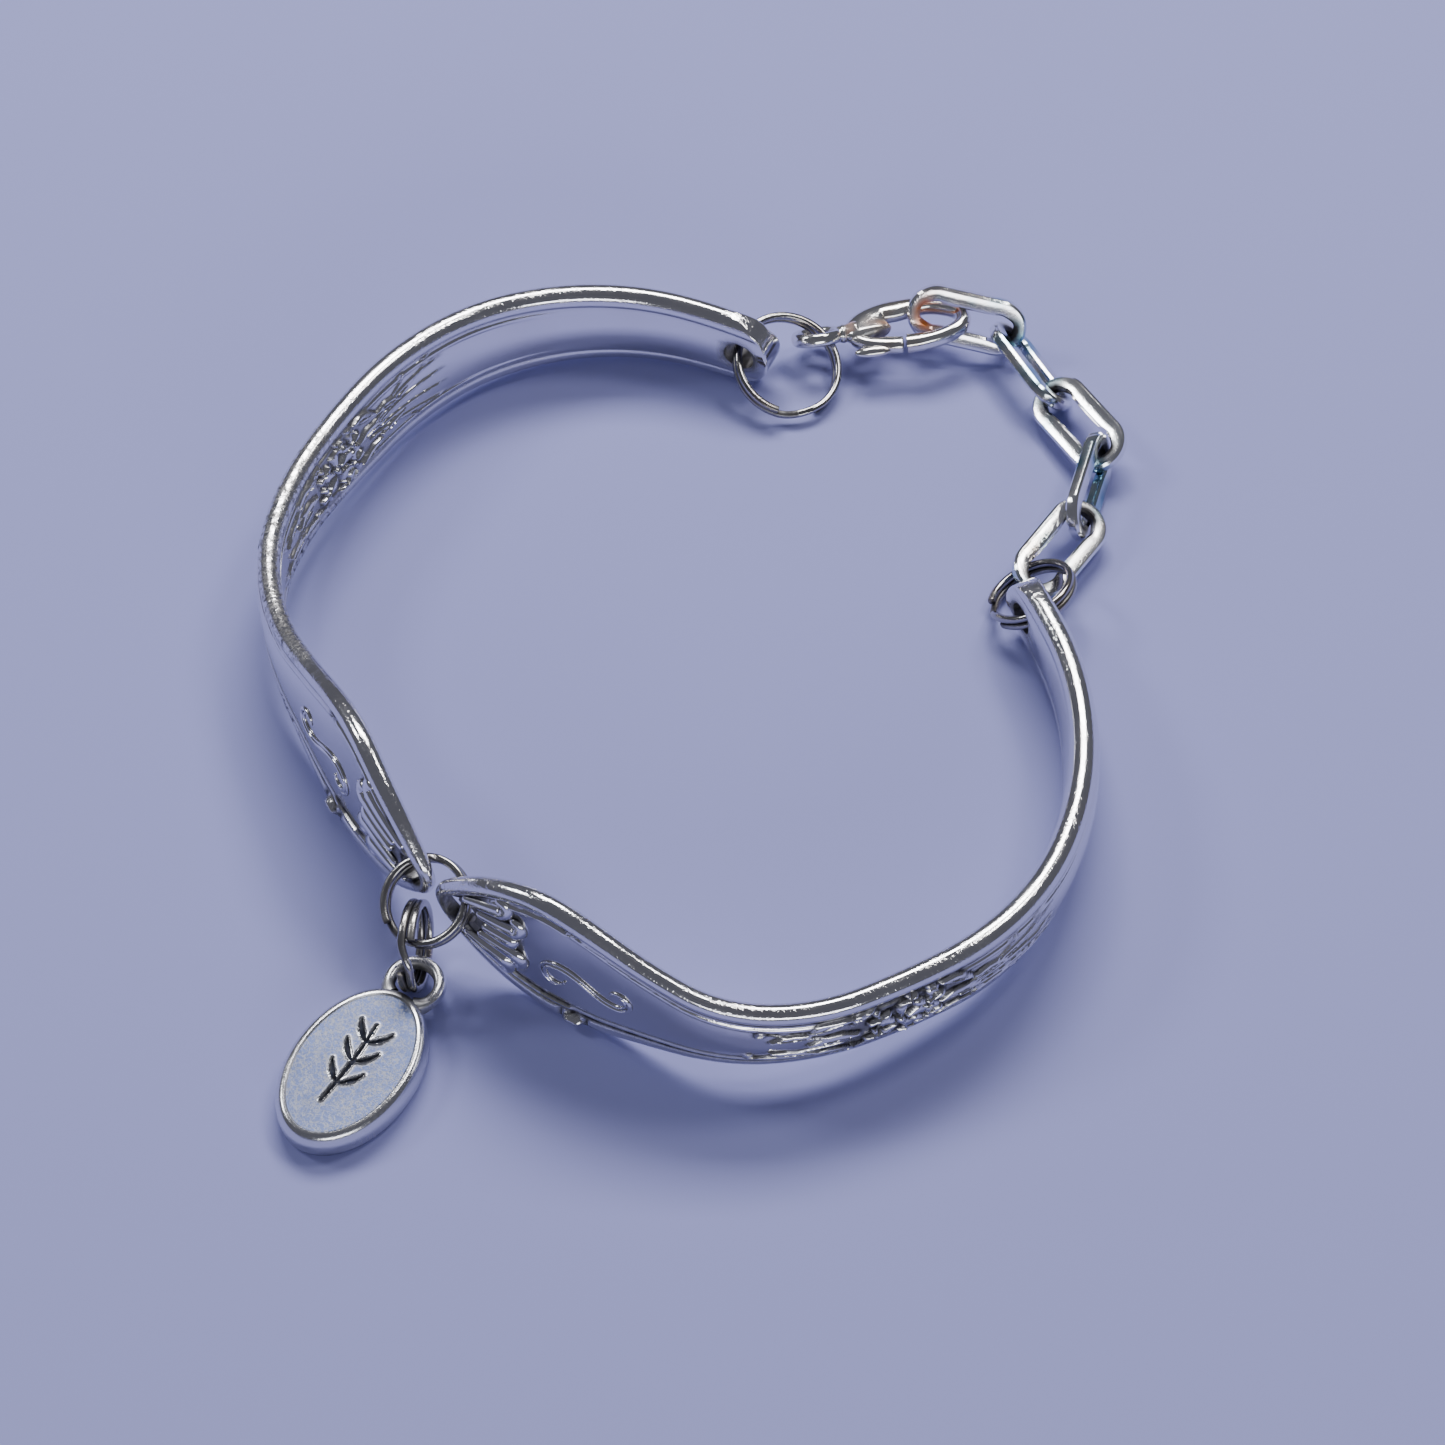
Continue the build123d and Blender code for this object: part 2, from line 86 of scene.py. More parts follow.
# Columns: share of the length, share of the width, panel share and crown share of the
# thickness, and the border's width as a share of the half width.
HANDLE_FORM = np.array([
    (0.000, 0.13, 0.36, 0.02, 0.50),
    (0.020, 0.39, 0.38, 0.03, 0.30),
    (0.046, 0.66, 0.38, 0.04, 0.22),
    (0.080, 0.88, 0.38, 0.05, 0.19),
    (0.120, 1.00, 0.40, 0.06, 0.18),
    (0.170, 0.93, 0.42, 0.07, 0.18),
    (0.225, 0.74, 0.46, 0.09, 0.20),
    (0.285, 0.57, 0.52, 0.12, 0.24),
    (0.360, 0.51, 0.58, 0.15, 0.26),
    (0.450, 0.55, 0.62, 0.17, 0.26),
    (0.560, 0.60, 0.66, 0.19, 0.26),
    (0.680, 0.59, 0.70, 0.21, 0.27),
    (0.820, 0.55, 0.72, 0.24, 0.30),
    (1.000, 0.50, 0.74, 0.26, 0.32),
])

# How each handle is bent: turn in degrees over each twelfth of its length, and outward lean.
LEFT_BEND = np.array([
    (10.0, -3.0), (-1.0, -6.0), (2.5, -5.0), (17.0, -2.0), (24.5, 2.0), (14.5, 5.0),
    (5.5, 7.0), (15.0, 7.0), (20.5, 6.0), (18.0, 4.0), (19.0, 2.0), (9.5, 0.0),
])
RIGHT_BEND = np.array([
    (3.0, -2.0), (-0.5, -1.0), (6.5, 0.0), (28.5, 1.0), (20.0, 3.0), (6.5, 4.0),
    (18.0, 4.0), (18.5, 3.0), (14.0, 2.0), (12.5, 0.0), (14.0, -2.0), (7.5, -4.0),
])


class BraceletFinish(bpy.types.PropertyGroup):
    """Colours and finishes that a user would change."""

    silver: FloatVectorProperty(
        name="Silver", description="Colour of the clean silver plate", subtype="COLOR",
        size=3, default=(0.79, 0.78, 0.80), min=0.0, max=1.0,
    )
    # Patina's dark colour also paints the shade between and inside the rings, links, clasp and charm loop.
    patina: FloatVectorProperty(
        name="Patina", description="Colour of the dark patina in the recesses", subtype="COLOR",
        size=3, default=(0.035, 0.033, 0.036), min=0.0, max=1.0,
    )
    gloss: FloatProperty(
        name="Polish roughness", description="Roughness of the polished faces",
        default=0.09, min=0.0, max=1.0, subtype="FACTOR",
    )
    floor: FloatVectorProperty(
        name="Floor", description="Colour of the plain floor", subtype="COLOR",
        size=3, default=(0.29, 0.30, 0.62), min=0.0, max=1.0,
    )


class BraceletRelief(bpy.types.PropertyGroup):
    """Heights of the cast ornament."""

    height: FloatProperty(
        name="Relief height", description="How far the ornament stands out of the panel",
        default=0.26 * MM, min=0.0, max=0.6 * MM, subtype="DISTANCE", unit="LENGTH", precision=6,
    )
    thread: FloatProperty(
        name="Thread height", description="Height of the thin thread inside the border",
        default=0.13 * MM, min=0.0, max=0.4 * MM, subtype="DISTANCE", unit="LENGTH", precision=6,
    )


def smooth_table(xs, ys, at):
    """Cubic Hermite curve through the rows, with slopes taken across each row's neighbours."""
    span = np.maximum(xs[2:] - xs[:-2], 1e-9)
    slopes = np.concatenate([
        [(ys[1] - ys[0]) / (xs[1] - xs[0])], (ys[2:] - ys[:-2]) / span,
        [(ys[-1] - ys[-2]) / (xs[-1] - xs[-2])],
    ])
    i = np.clip(np.searchsorted(xs, at, side="right") - 1, 0, len(xs) - 2)
    width = xs[i + 1] - xs[i]
    t = (at - xs[i]) / width
    rise = t * t * (3 - 2 * t)
    start, end = t * (1 - t) ** 2, t * t * (t - 1)
    return (1 - rise) * ys[i] + rise * ys[i + 1] + width * (start * slopes[i] + end * slopes[i + 1])


def norm(v):
    """Vectors of length one, along the last axis."""
    return v / np.maximum(np.linalg.norm(v, axis=-1, keepdims=True), 1e-12)


def ease(x):
    """0 below 0, 1 above 1, and 3x^2 - 2x^3 between."""
    x = np.clip(x, 0.0, 1.0)
    return x * x * (3 - 2 * x)


def quarter_round(x):
    """A quarter circle's rise: 0 below 0, 1 above 1, and sqrt(1 - (1 - x)^2) between."""
    return np.sqrt(np.clip(1 - (1 - np.clip(x, 0, 1)) ** 2, 0, 1))


def bell(x, middle, reach, power=2):
    """1 at the middle, falling off as exp(-((x - middle) / reach)^power)."""
    return np.exp(-((x - middle) / reach) ** power)


def unit(angle):
    """The flat direction of length one at each angle, in radians."""
    return np.stack([np.cos(angle), np.sin(angle)], -1)


def square_to(way):
    """The directions a quarter turn to the left of the given ones."""
    return np.stack([-way[..., 1], way[..., 0]], -1)


def run_of(path):
    """Distance along a path at each of its points."""
    return np.concatenate([[0], np.cumsum(np.linalg.norm(np.diff(path, axis=0), axis=1))])


class HandleForm:
    """One bent handle in millimetres: its middle line, its sections and its outline.

    It leaves its tip at a heading in degrees, and side is 1 or -1 for a bend to the right or left.
    """

    def __init__(self, tip, heading, length, bend, side):
        self.tip, self.heading, self.length = np.array(tip), heading, length
        self.bend, self.side = bend, side

    def frame(self, share):
        """Origin, up and sideways directions of the section at each share of the length.

        The heading turns evenly over each row of the bend table, and the middle line is the
        running sum of its unit vectors.
        """
        fine = np.linspace(0, 1, 2401)
        marks = np.linspace(0, 1, len(self.bend) + 1)
        turns = np.concatenate([[0], np.cumsum(self.bend[:, 0])])
        heading = np.radians(self.heading - self.side * np.interp(fine, marks, turns))
        middle = (heading[1:] + heading[:-1]) / 2
        step = self.length / (len(fine) - 1)
        x = np.concatenate([[0], np.cumsum(np.cos(middle))]) * step + self.tip[0] - MIDDLE[0]
        y = np.concatenate([[0], np.cumsum(np.sin(middle))]) * step + self.tip[1] - MIDDLE[1]
        bearing = np.interp(share, fine, heading)
        leans = np.concatenate([[self.bend[0, 1]], self.bend[:, 1]])
        lean = np.radians(smooth_table(marks, leans, share))
        across = bearing + np.pi / 2 * self.side
        up = np.stack([np.cos(across) * np.sin(lean), np.sin(across) * np.sin(lean), np.cos(lean)], -1)
        along = np.stack([np.cos(bearing), np.sin(bearing), 0 * bearing], -1)
        origin = np.stack([np.interp(share, fine, x), np.interp(share, fine, y), self.height(share)], -1)
        return origin, up, np.cross(along, up)

    def column(self, number, share):
        """A column of HANDLE_FORM, smoothed, at each share of the length."""
        return smooth_table(HANDLE_FORM[:, 0], HANDLE_FORM[:, number], share)

    def width(self, share):
        """Full width at each share of the length."""
        return HANDLE_WIDTH * self.column(1, share)

    def half_at(self, distance):
        """Half width at a distance from the tip."""
        return self.width(distance / self.length) / 2

    def height(self, share):
        """Height of the middle line: the wide tip and the cut end stand on the surface."""
        tip, end = self.width(TIP_STANDING) / 2, self.width(1.0) / 2
        return end + (tip - end) * (1 - share) / (1 - TIP_STANDING)

    def section(self, share):
        """Half width, width of the border, depth of the panel and its crown at each share."""
        half = self.width(share) / 2
        border = np.minimum(half * self.column(4, share) + BORDER_PROUD, half * 0.8)
        panel = HANDLE_THICKNESS / 2 * self.column(2, share)
        return half, border, panel, HANDLE_THICKNESS * self.column(3, share)


def quadratic(start, middle, end, count=14):
    """Points of the parabola that leaves start towards middle and arrives at end from it."""
    t = np.linspace(0, 1, count)[:, None]
    return (1 - t) ** 2 * np.array(start) + 2 * t * (1 - t) * np.array(middle) + t * t * np.array(end)


def scroll_line(centre, size, tilt, curl, count, part=(-1.0, 1.0)):
    """An S scroll, or a part of it: the heading grows with the square of the distance from its middle."""
    t = np.linspace(-1, 1, 401)
    heading = curl * t * t + np.radians(tilt)
    step = t[1] - t[0]
    x = np.cumsum(np.cos(heading)) * step
    y = np.cumsum(np.sin(heading)) * step
    middle = len(t) // 2
    line = np.stack([x - x[middle], y - y[middle]], -1) * size + np.array(centre)
    wanted = np.linspace(part[0], part[1], count)
    return np.stack([np.interp(wanted, t, line[:, k]) for k in range(2)], -1)


STROKE_MARGIN = 0.4             # beyond a stroke's edge, where its dark foot still shows
FOOT_FROM, FOOT_REACH = 0.82, 0.13      # share of the half width where the foot starts, and its fall


def stroke(along, across, line, widths, height):
    """Half-round bead along a line, and how near each point is to the bead's foot.

    The bead stands height * sqrt(1 - (d / w)^2) where d is the distance to the line and w the
    bead's half width, which runs evenly from the first of widths to the last along the line.
    """
    relief, foot = np.zeros_like(along), np.zeros_like(along)
    reach = max(widths) + STROKE_MARGIN
    low, high = line.min(0) - reach, line.max(0) + reach
    near = (along > low[0]) & (along < high[0]) & (across > low[1]) & (across < high[1])
    if not near.any():
        return relief, foot
    p = np.stack([along[near], across[near]], -1)[:, None, :]
    a, b = line[:-1][None], line[1:][None]
    run = b - a
    t = np.clip(((p - a) * run).sum(-1) / np.maximum((run * run).sum(-1), 1e-9), 0, 1)
    gap = np.linalg.norm(a + run * t[..., None] - p, axis=-1)
    best = gap.argmin(1)
    rows = np.arange(len(best))
    share = (best + t[rows, best]) / (len(line) - 1)
    half = np.interp(share, np.linspace(0, 1, len(widths)), widths)
    d = gap[rows, best]
    relief[near] = height * np.sqrt(np.clip(1 - (d / half) ** 2, 0, 1))
    foot[near] = np.where(d > half * FOOT_FROM, bell(d, half, FOOT_REACH), 0.0)
    return relief, foot


# Leaves round the flower, in millimetres and degrees: along, across, length, half width, turn.
LEAVES = [
    (-7.7, 0.9, 2.8, 0.34, 8), (-7.5, -0.9, 3.0, 0.36, -8), (-5.3, 1.6, 3.2, 0.48, 13),
    (-5.0, 0.1, 3.4, 0.50, 3), (-4.9, -1.6, 3.3, 0.46, -12), (-2.9, 2.0, 2.2, 0.42, 30),
    (-2.8, -2.1, 2.1, 0.40, -28), (3.7, 1.8, 2.6, 0.46, -20), (4.0, 0.2, 3.1, 0.48, -3),
    (3.7, -1.6, 2.8, 0.46, 16), (6.4, 1.0, 2.8, 0.38, -10), (6.5, -0.8, 2.8, 0.36, 10),
    (1.7, 2.3, 1.8, 0.32, -48), (1.4, -2.3, 1.8, 0.32, 46),
]
# Blossoms: along, across, petals' reach, petals.
BLOSSOMS = [
    (-0.5, 0.2, 1.30, 5), (1.6, 1.0, 0.90, 5), (1.5, -0.9, 0.95, 5), (-2.1, -0.9, 0.70, 4),
    (-2.0, 1.1, 0.65, 4), (0.2, -2.0, 0.55, 4), (0.2, 2.0, 0.50, 4),
]
# Hooked tendrils along the borders: along, share of the half width, size, turn.
TENDRILS = [
    (8.2, 0.50, 0.85, 40), (10.6, 0.47, 0.80, 30), (9.0, -0.50, 0.85, -40),
    (-9.2, 0.46, 0.80, 150), (-9.8, -0.44, 0.80, -150),
]
# Reeds that fan out behind the flower: where each starts and ends across the handle.
REEDS = [(-0.75, -1.9), (-0.25, -0.7), (0.25, 0.6), (0.75, 1.8)]
REED_RUN = (5.2, 8.5, 12.0)     # where a reed starts, bends and ends, along from the flower
# Flutes of the fan: where each leaves the hole, in degrees, and its head's place from the fan's end.
FLUTES = [(-78, -1.3, -2.9), (-38, -0.3, -1.45), (0, 0.0, 0.0), (38, -0.3, 1.45), (78, -1.3, 2.9)]
FLUTE_START = 1.9               # from the tip hole's middle
FLUTE_WIDTHS = (0.34, 0.62, 0.80)       # half widths at the foot, half way and at the head
HOOK_RADIUS, HOOK_TIGHTENS, HOOK_SWING = 0.62, 0.07, 3.7        # mm, mm for each radian, radians
FLUTE_POINTS, HOOK_POINTS, SCROLL_POINTS = 26, 18, 120
SCROLL_ACROSS, SCROLL_SIZE, SCROLL_TILT, SCROLL_CURL = -0.7, 6.6, -28, 5.4
# Buds on the borders' threads, below and above: side, middle's inset from the outline, size, height.
BUDS = [(-1, 0.74, 1.0, 1.5), (1, 1.3, 0.62, 1.1)]
LEAF_BOW, TENDRIL_CURL = 0.22, 4.4
# Heights of the strokes as shares of the relief: a groove's is below zero.
LEAF, VEIN, PETAL, HEART, REED, TENDRIL, STEM, NOTCH = 1.0, -0.6, 1.25, 1.6, 0.55, 0.8, 0.6, -0.9


def ornament_lines(flower_at, half):
    """The strokes round the flower: each line, its half widths and its height as a share of the relief."""
    out = []
    for along, across, size, width, turn in LEAVES:
        way = unit(radians(turn)) * size / 2
        middle = np.array([flower_at + along, across])
        bow = square_to(way) * LEAF_BOW * np.sign(across)
        line = quadratic(middle - way, middle + bow, middle + way)
        out.append((line, (0.10, width, width, 0.06), LEAF))
        out.append((line[3:-3], (0.03, 0.07, 0.03), VEIN))
    for along, across, reach, petals in BLOSSOMS:
        middle = np.array([flower_at + along, across])
        for k in range(petals):
            way = unit(2 * np.pi * (k + 0.2) / petals) * reach
            out.append((np.array([middle + way * 0.40, middle + way]), (0.13, 0.38 * reach), PETAL))
        out.append((np.array([middle, middle + (0.02, 0)]), (0.25 * reach, 0.25 * reach), HEART))
    first, bend, last = (flower_at + run for run in REED_RUN)
    for start, end in REEDS:
        line = quadratic((first, start), (bend, 0.8 * end), (last, end))
        out.append((line, (0.12, 0.15, 0.05), REED))
    for along, share, size, turn in TENDRILS:
        at = flower_at + along
        middle = (at, share * half(at))
        curl = TENDRIL_CURL * np.sign(share)
        line = scroll_line(middle, size * 1.6, turn, curl, 20, (0.0, 1.0))
        out.append((line, (0.07, 0.16, 0.13), TENDRIL))
        way_back = (flower_at + along * 0.7, share * 1.3)
        stem = quadratic(middle, way_back, (flower_at + along * 0.45, share))
        out.append((stem, (0.06, 0.13), STEM))
    return out


def bud_lines(bud_at, half):
    """The buds on the borders' threads: each a knot with a notch before it and one behind."""
    out = []
    slope = (half(bud_at + 1) - half(bud_at - 1)) / 2
    for side, inset, size, tall in BUDS:
        middle = np.array([bud_at, side * (half(bud_at) - inset)])
        way = norm(np.array([1.0, side * slope])) * size
        knot = np.array([middle - way * 0.48, middle + way * 0.48])
        out.append((knot, (0.20 * size, 0.52 * size, 0.20 * size), tall))
        for ahead in (-1, 1):
            notch = middle + way * 1.02 * ahead
            reach = square_to(way) * 0.36
            out.append((np.array([notch - reach, notch + reach]), (0.17 * size, 0.17 * size), NOTCH * size))
    return out


def carve(along, across, strokes, height):
    """Height of all strokes together, how far each point is covered, and the dark of the hollows."""
    raised = sunk = foot = covered = hollow = np.zeros_like(along)
    for path, widths, tall in strokes:
        r, f = stroke(along, across, path, widths, abs(tall) * height)
        if tall < 0:
            sunk = np.maximum(sunk, r)
            hollow = np.maximum(hollow, r / (abs(tall) * height))
        else:
            raised = np.maximum(raised, r)
            foot = np.maximum(foot, f)
            covered = np.maximum(covered, r / (tall * height))
    return raised - sunk, covered, np.clip(foot * (1 - covered) + 0.8 * hollow, 0, 1)


def bold_lines(fan_at, scroll_at):
    """Lines of the fan's flutes and the scroll, with the half width and height at each point.

    A flute leaves the hole, widens, and its head hooks away from the fan's middle on an arc that
    tightens.  The scroll is a bold S with a finer line beside it.
    """
    out = []
    for turn, back, head_across in FLUTES:
        start = np.array([TIP_HOLE[0], 0]) + FLUTE_START * unit(radians(turn))
        head = np.array([fan_at + back, head_across])
        bend = (0.45 * start[0] + 0.55 * head[0], 0.85 * head_across)
        line = quadratic(start, bend, head, FLUTE_POINTS)
        width = np.interp(np.linspace(0, 1, FLUTE_POINTS), (0, 0.5, 1), FLUTE_WIDTHS)
        if turn:
            way = norm(line[-1] - line[-2])
            aside = square_to(way) * np.sign(turn)
            swing = np.linspace(0, HOOK_SWING, HOOK_POINTS + 1)[1:, None]
            radius = HOOK_RADIUS - HOOK_TIGHTENS * swing
            hook = head + aside * HOOK_RADIUS + radius * (way * np.sin(swing) - aside * np.cos(swing))
            line = np.concatenate([line, hook])
            width = np.concatenate([width * 0.86, np.linspace(0.64, 0.34, HOOK_POINTS)])
        out.append((line, width, 0.56 * width + 0.12))
    main = scroll_line((scroll_at, SCROLL_ACROSS), SCROLL_SIZE, SCROLL_TILT, SCROLL_CURL, SCROLL_POINTS)
    beside = main + 0.36 * square_to(norm(np.gradient(main, axis=0)))
    swell = 1 - np.abs(np.linspace(-1, 1, SCROLL_POINTS)) ** 3
    out.append((main, 0.11 + 0.09 * swell, 0.13 + 0.10 * swell))
    shorter = slice(10, -10)
    out.append((beside[shorter], 0.05 + 0.07 * swell[shorter], 0.05 + 0.11 * swell[shorter]))
    return out


def hump_over(across, half, border):
    """The panel's crown: 1 on the middle line, falling with the square to 0 at the border."""
    return np.clip(1 - (across / np.maximum(half - border, 0.1)) ** 2, 0, 1)


def panel_depth(form, along, across, outside):
    """How far the plain crowned panel stands off the handle's middle surface."""
    half, border, panel, crown = form.section(along / form.length)
    return panel + crown * (1.0 if outside else INNER_CROWN) * hump_over(across, half, border)


def raised_bar(form, line, width, height, outside):
    """A bar half sunk in one face along a line: points, faces, and the patina at its foot.

    The line is laid on the crowned panel, and the bar's section is an ellipse of the given half
    width and height that rounds off at both ends.
    """
    along, across = line.T
    origin, up, right = form.frame(along / form.length)
    way = right * (-form.side if outside else form.side)
    path = origin + up * across[:, None] + way * panel_depth(form, along, across, outside)[:, None]
    heading = norm(np.gradient(path, axis=0))
    size = end_rounding(run_of(path), 1.2 * width[0], 1.2 * width[-1])
    circle = superellipse(1, 1, power=2.0, count=14)
    profile = circle[None] * np.stack([width * size, height * size], -1)[:, None, :]
    points, faces = tube(path, norm(np.cross(heading, way)), way, profile)
    return points, faces, np.tile(np.clip(0.9 - 2.0 * circle[:, 1], 0, 1), len(line))


def handle_rows(length, dense):
    """Distances from the tip at which sections are taken: close where the ornament is."""
    marks = np.linspace(0, length, 4001)
    gap = np.full(len(marks), COARSE_STEP)
    for low, high, step in dense:
        gap = np.where((marks > low) & (marks < high), step, gap)
    count = np.concatenate([[0], np.cumsum((marks[1] - marks[0]) / gap[:-1])])
    return np.interp(np.linspace(0, count[-1], int(count[-1]) + 1), count, marks)


def quads(rows, columns, round_columns=False, round_rows=False):
    """Corner numbers of a grid's faces, row by row, with its last columns or rows joined to the first."""
    n = np.arange(rows * columns).reshape(rows, columns)
    if round_columns:
        n = np.concatenate([n, n[:, :1]], 1)
    if round_rows:
        n = np.concatenate([n, n[:1]], 0)
    corners = [n[:-1, :-1], n[:-1, 1:], n[1:, 1:], n[1:, :-1]]
    return np.stack([c.ravel() for c in corners], -1)


def build(name, points, faces, material, replaced=(), body=BODY, values=None, sharp=48.0,
          weld=1e-7, caps=()):
    """Puts points (in mm) and faces in a welded, outward-facing mesh that rides on a body.

    values are kept on the mesh by name, one for each point or one for all, and caps are faces of
    three corners.  Edges that turn more than sharp degrees stay sharp.
    """
    mesh = bpy.data.meshes.new(name)
    mesh.from_pydata((points.reshape(-1, 3) * MM).tolist(), [], [*faces.tolist(), *caps])
    for key, value in (values or {}).items():
        kept = mesh.attributes.new(key, "FLOAT", "POINT")
        kept.data.foreach_set("value", np.full(len(mesh.vertices), np.ravel(value), np.float32))
    bm = bmesh.new()
    bm.from_mesh(mesh)
    bmesh.ops.remove_doubles(bm, verts=bm.verts, dist=weld)
    bmesh.ops.dissolve_degenerate(bm, edges=bm.edges, dist=weld)
    loose = [v for v in bm.verts if not v.link_faces]
    bmesh.ops.delete(bm, geom=loose, context="VERTS")
    bmesh.ops.recalc_face_normals(bm, faces=bm.faces)
    bm.to_mesh(mesh)
    bm.free()
    mesh.shade_smooth()
    mesh.set_sharp_from_angle(angle=radians(sharp))
    mesh.materials.append(material)
    piece = bpy.data.objects.new(name, mesh)
    bpy.context.scene.collection.objects.link(piece)
    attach(piece, body)
    if replaced:
        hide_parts(*replaced)


def handle_grid(form, a):
    """Each grid point's distance along and across the handle, and how far inside the outline it is.

    Columns are even over the panel and close up round the bead's edge.  The outline rounds shut
    at the tip and in a half circle at the cut end; the distance is to the nearest run of its
    upper half, without that half circle.
    """
    radius = form.width(1.0) / 2
    last = form.length - END_TRIM - radius
    full = form.half_at(a)
    half = full * quarter_round(a / TIP_ROUND)
    end_arc = np.sqrt(np.clip(radius**2 - np.clip(a - last, 0, None) ** 2, 0, None))
    edge = 1 - BEAD_SHARE * (1 - np.cos(np.linspace(0, np.pi / 2, EDGE_COLUMNS + 1)))[:-1]
    q = np.concatenate([-edge, np.linspace(-1, 1, PANEL_COLUMNS) * (1 - BEAD_SHARE), edge[::-1]])
    along = np.repeat(a[:, None], len(q), 1)
    across = np.where(a > last, np.minimum(half, end_arc), half)[:, None] * q[None]
    line = np.stack([a, np.where(a > last, full, half)], -1)
    p = np.stack([along, np.abs(across)], -1).reshape(-1, 1, 2)
    start, run = line[None, :-1], (line[1:] - line[:-1])[None]
    length2 = np.maximum((run * run).sum(-1), 1e-12)
    inside = np.empty(len(p))
    for chunk in np.array_split(np.arange(len(p)), 24):
        t = np.clip(((p[chunk] - start) * run).sum(-1) / length2, 0, 1)
        inside[chunk] = np.linalg.norm(start + run * t[..., None] - p[chunk], axis=-1).min(1)
    return along, across, inside.reshape(along.shape)


def cast_relief(form, along, across, inside, border, fan_at, bud_at, scroll_at, flower_at):
    """Height of the ornament over the panel, and the patina of the outer and of the inner face.

    The strokes round the flower, the thread along the border and the buds stand up, and the
    ground of the fan and of the flower lies lower.  The patina is high at the strokes' feet, on
    that ground and in the creases beside the border and the thread.
    """
    relief = bpy.context.scene.bracelet_relief
    height, thread = relief.height / MM, relief.thread / MM
    raised, covered, dark = carve(along, across, ornament_lines(flower_at, form.half_at), height)
    knobs, knob_cover, knob_dark = carve(along, across, bud_lines(bud_at, form.half_at), height)
    beyond = inside - border
    on_panel = ease(beyond / 0.25)
    fade = 1 - ease((along / form.length - THREAD_FADES[0]) / THREAD_FADES[1])
    bold = 1 + 0.9 * (1 - ease((along - bud_at + 0.6) / 0.8))
    threads = np.sqrt(np.clip(1 - ((beyond - THREAD_AT) / THREAD_HALF) ** 2, 0, 1))
    raised = np.maximum(raised * on_panel, thread * fade * bold * threads)
    raised = raised + knobs * ease((inside - 0.15) / 0.35)
    crease = bell(beyond, 0, 0.13) + 0.7 * bell(beyond, THREAD_AT + 0.24, 0.10) * fade * bold
    fan_ground = ease((along - 1.0) / 0.8) * ease((fan_at + 0.5 - along) / 0.6)
    fan_ground = fan_ground * ease((FAN_HALF - np.abs(across)) / 0.6)
    ground = np.maximum(fan_ground, bell(along, flower_at, FLOWER_REACH, 4))
    ground = ground * on_panel * (1 - np.clip(1.5 * covered, 0, 1))
    patina = dark * on_panel + knob_dark + 0.75 * ground + crease * (0.35 + 0.65 * fade)
    patina = np.clip(patina, 0, 1) * (1 - np.clip(1.5 * knob_cover, 0, 1))
    patina = patina * (1 - 0.45 * ease((along - flower_at - 5.0) / 3.0))
    inner_patina = patina * (1 - 0.35 * ease((along - scroll_at - 4.0) / 2.0))
    return raised - GROUND_DEPTH * ground, patina, inner_patina


def cut_holes(along, across, holes):
    """Which of the grid's faces the holes take, and each point's distance from a hole's rim.

    The points beside a hole are moved onto its circle, in the arrays themselves.
    """
    rim = np.full(along.shape, np.inf)
    for centre, radius in holes:
        rim = np.minimum(rim, np.hypot(along - centre, across) - radius)
    removed = rim < 0
    cut = removed[:-1, :-1] | removed[1:, :-1] | removed[:-1, 1:] | removed[1:, 1:]
    beside = np.zeros_like(removed)
    for rows in (slice(0, -1), slice(1, None)):
        for columns in (slice(0, -1), slice(1, None)):
            beside[rows, columns] |= cut
    beside &= ~removed
    for centre, radius in holes:
        here = beside & (np.abs(along - centre) < 2.2 * radius)
        reach = np.hypot(along[here] - centre, across[here])
        along[here] = centre + (along[here] - centre) * radius / reach
        across[here] *= radius / reach
        rim[here] = 0.0
    return cut, rim


def skin_faces(shape, cut):
    """Faces of a pierced skin whose second side's points follow the first side's.

    A wall joins the two sides along every open edge: round each hole, where a face that is kept
    meets one that is cut, and along the grid's first and last columns.
    """
    total = shape[0] * shape[1]
    faces = quads(*shape)
    kept, gone = faces[~cut.ravel()], faces[cut.ravel()]
    sides = [np.concatenate([some[:, [k, (k + 1) % 4]] for k in range(4)]) for some in (kept, gone)]
    keys = [np.sort(side, 1) @ np.array([total, 1]) for side in sides]
    number = np.arange(total).reshape(shape)
    edges = [sides[1][np.isin(keys[1], keys[0])]]
    for column in (number[:, 0], number[:, -1]):
        edges.append(np.stack([column[:-1], column[1:]], -1))
    edges = np.concatenate(edges)
    return np.concatenate([kept, kept[:, ::-1] + total, np.hstack([edges, edges[:, ::-1] + total])])


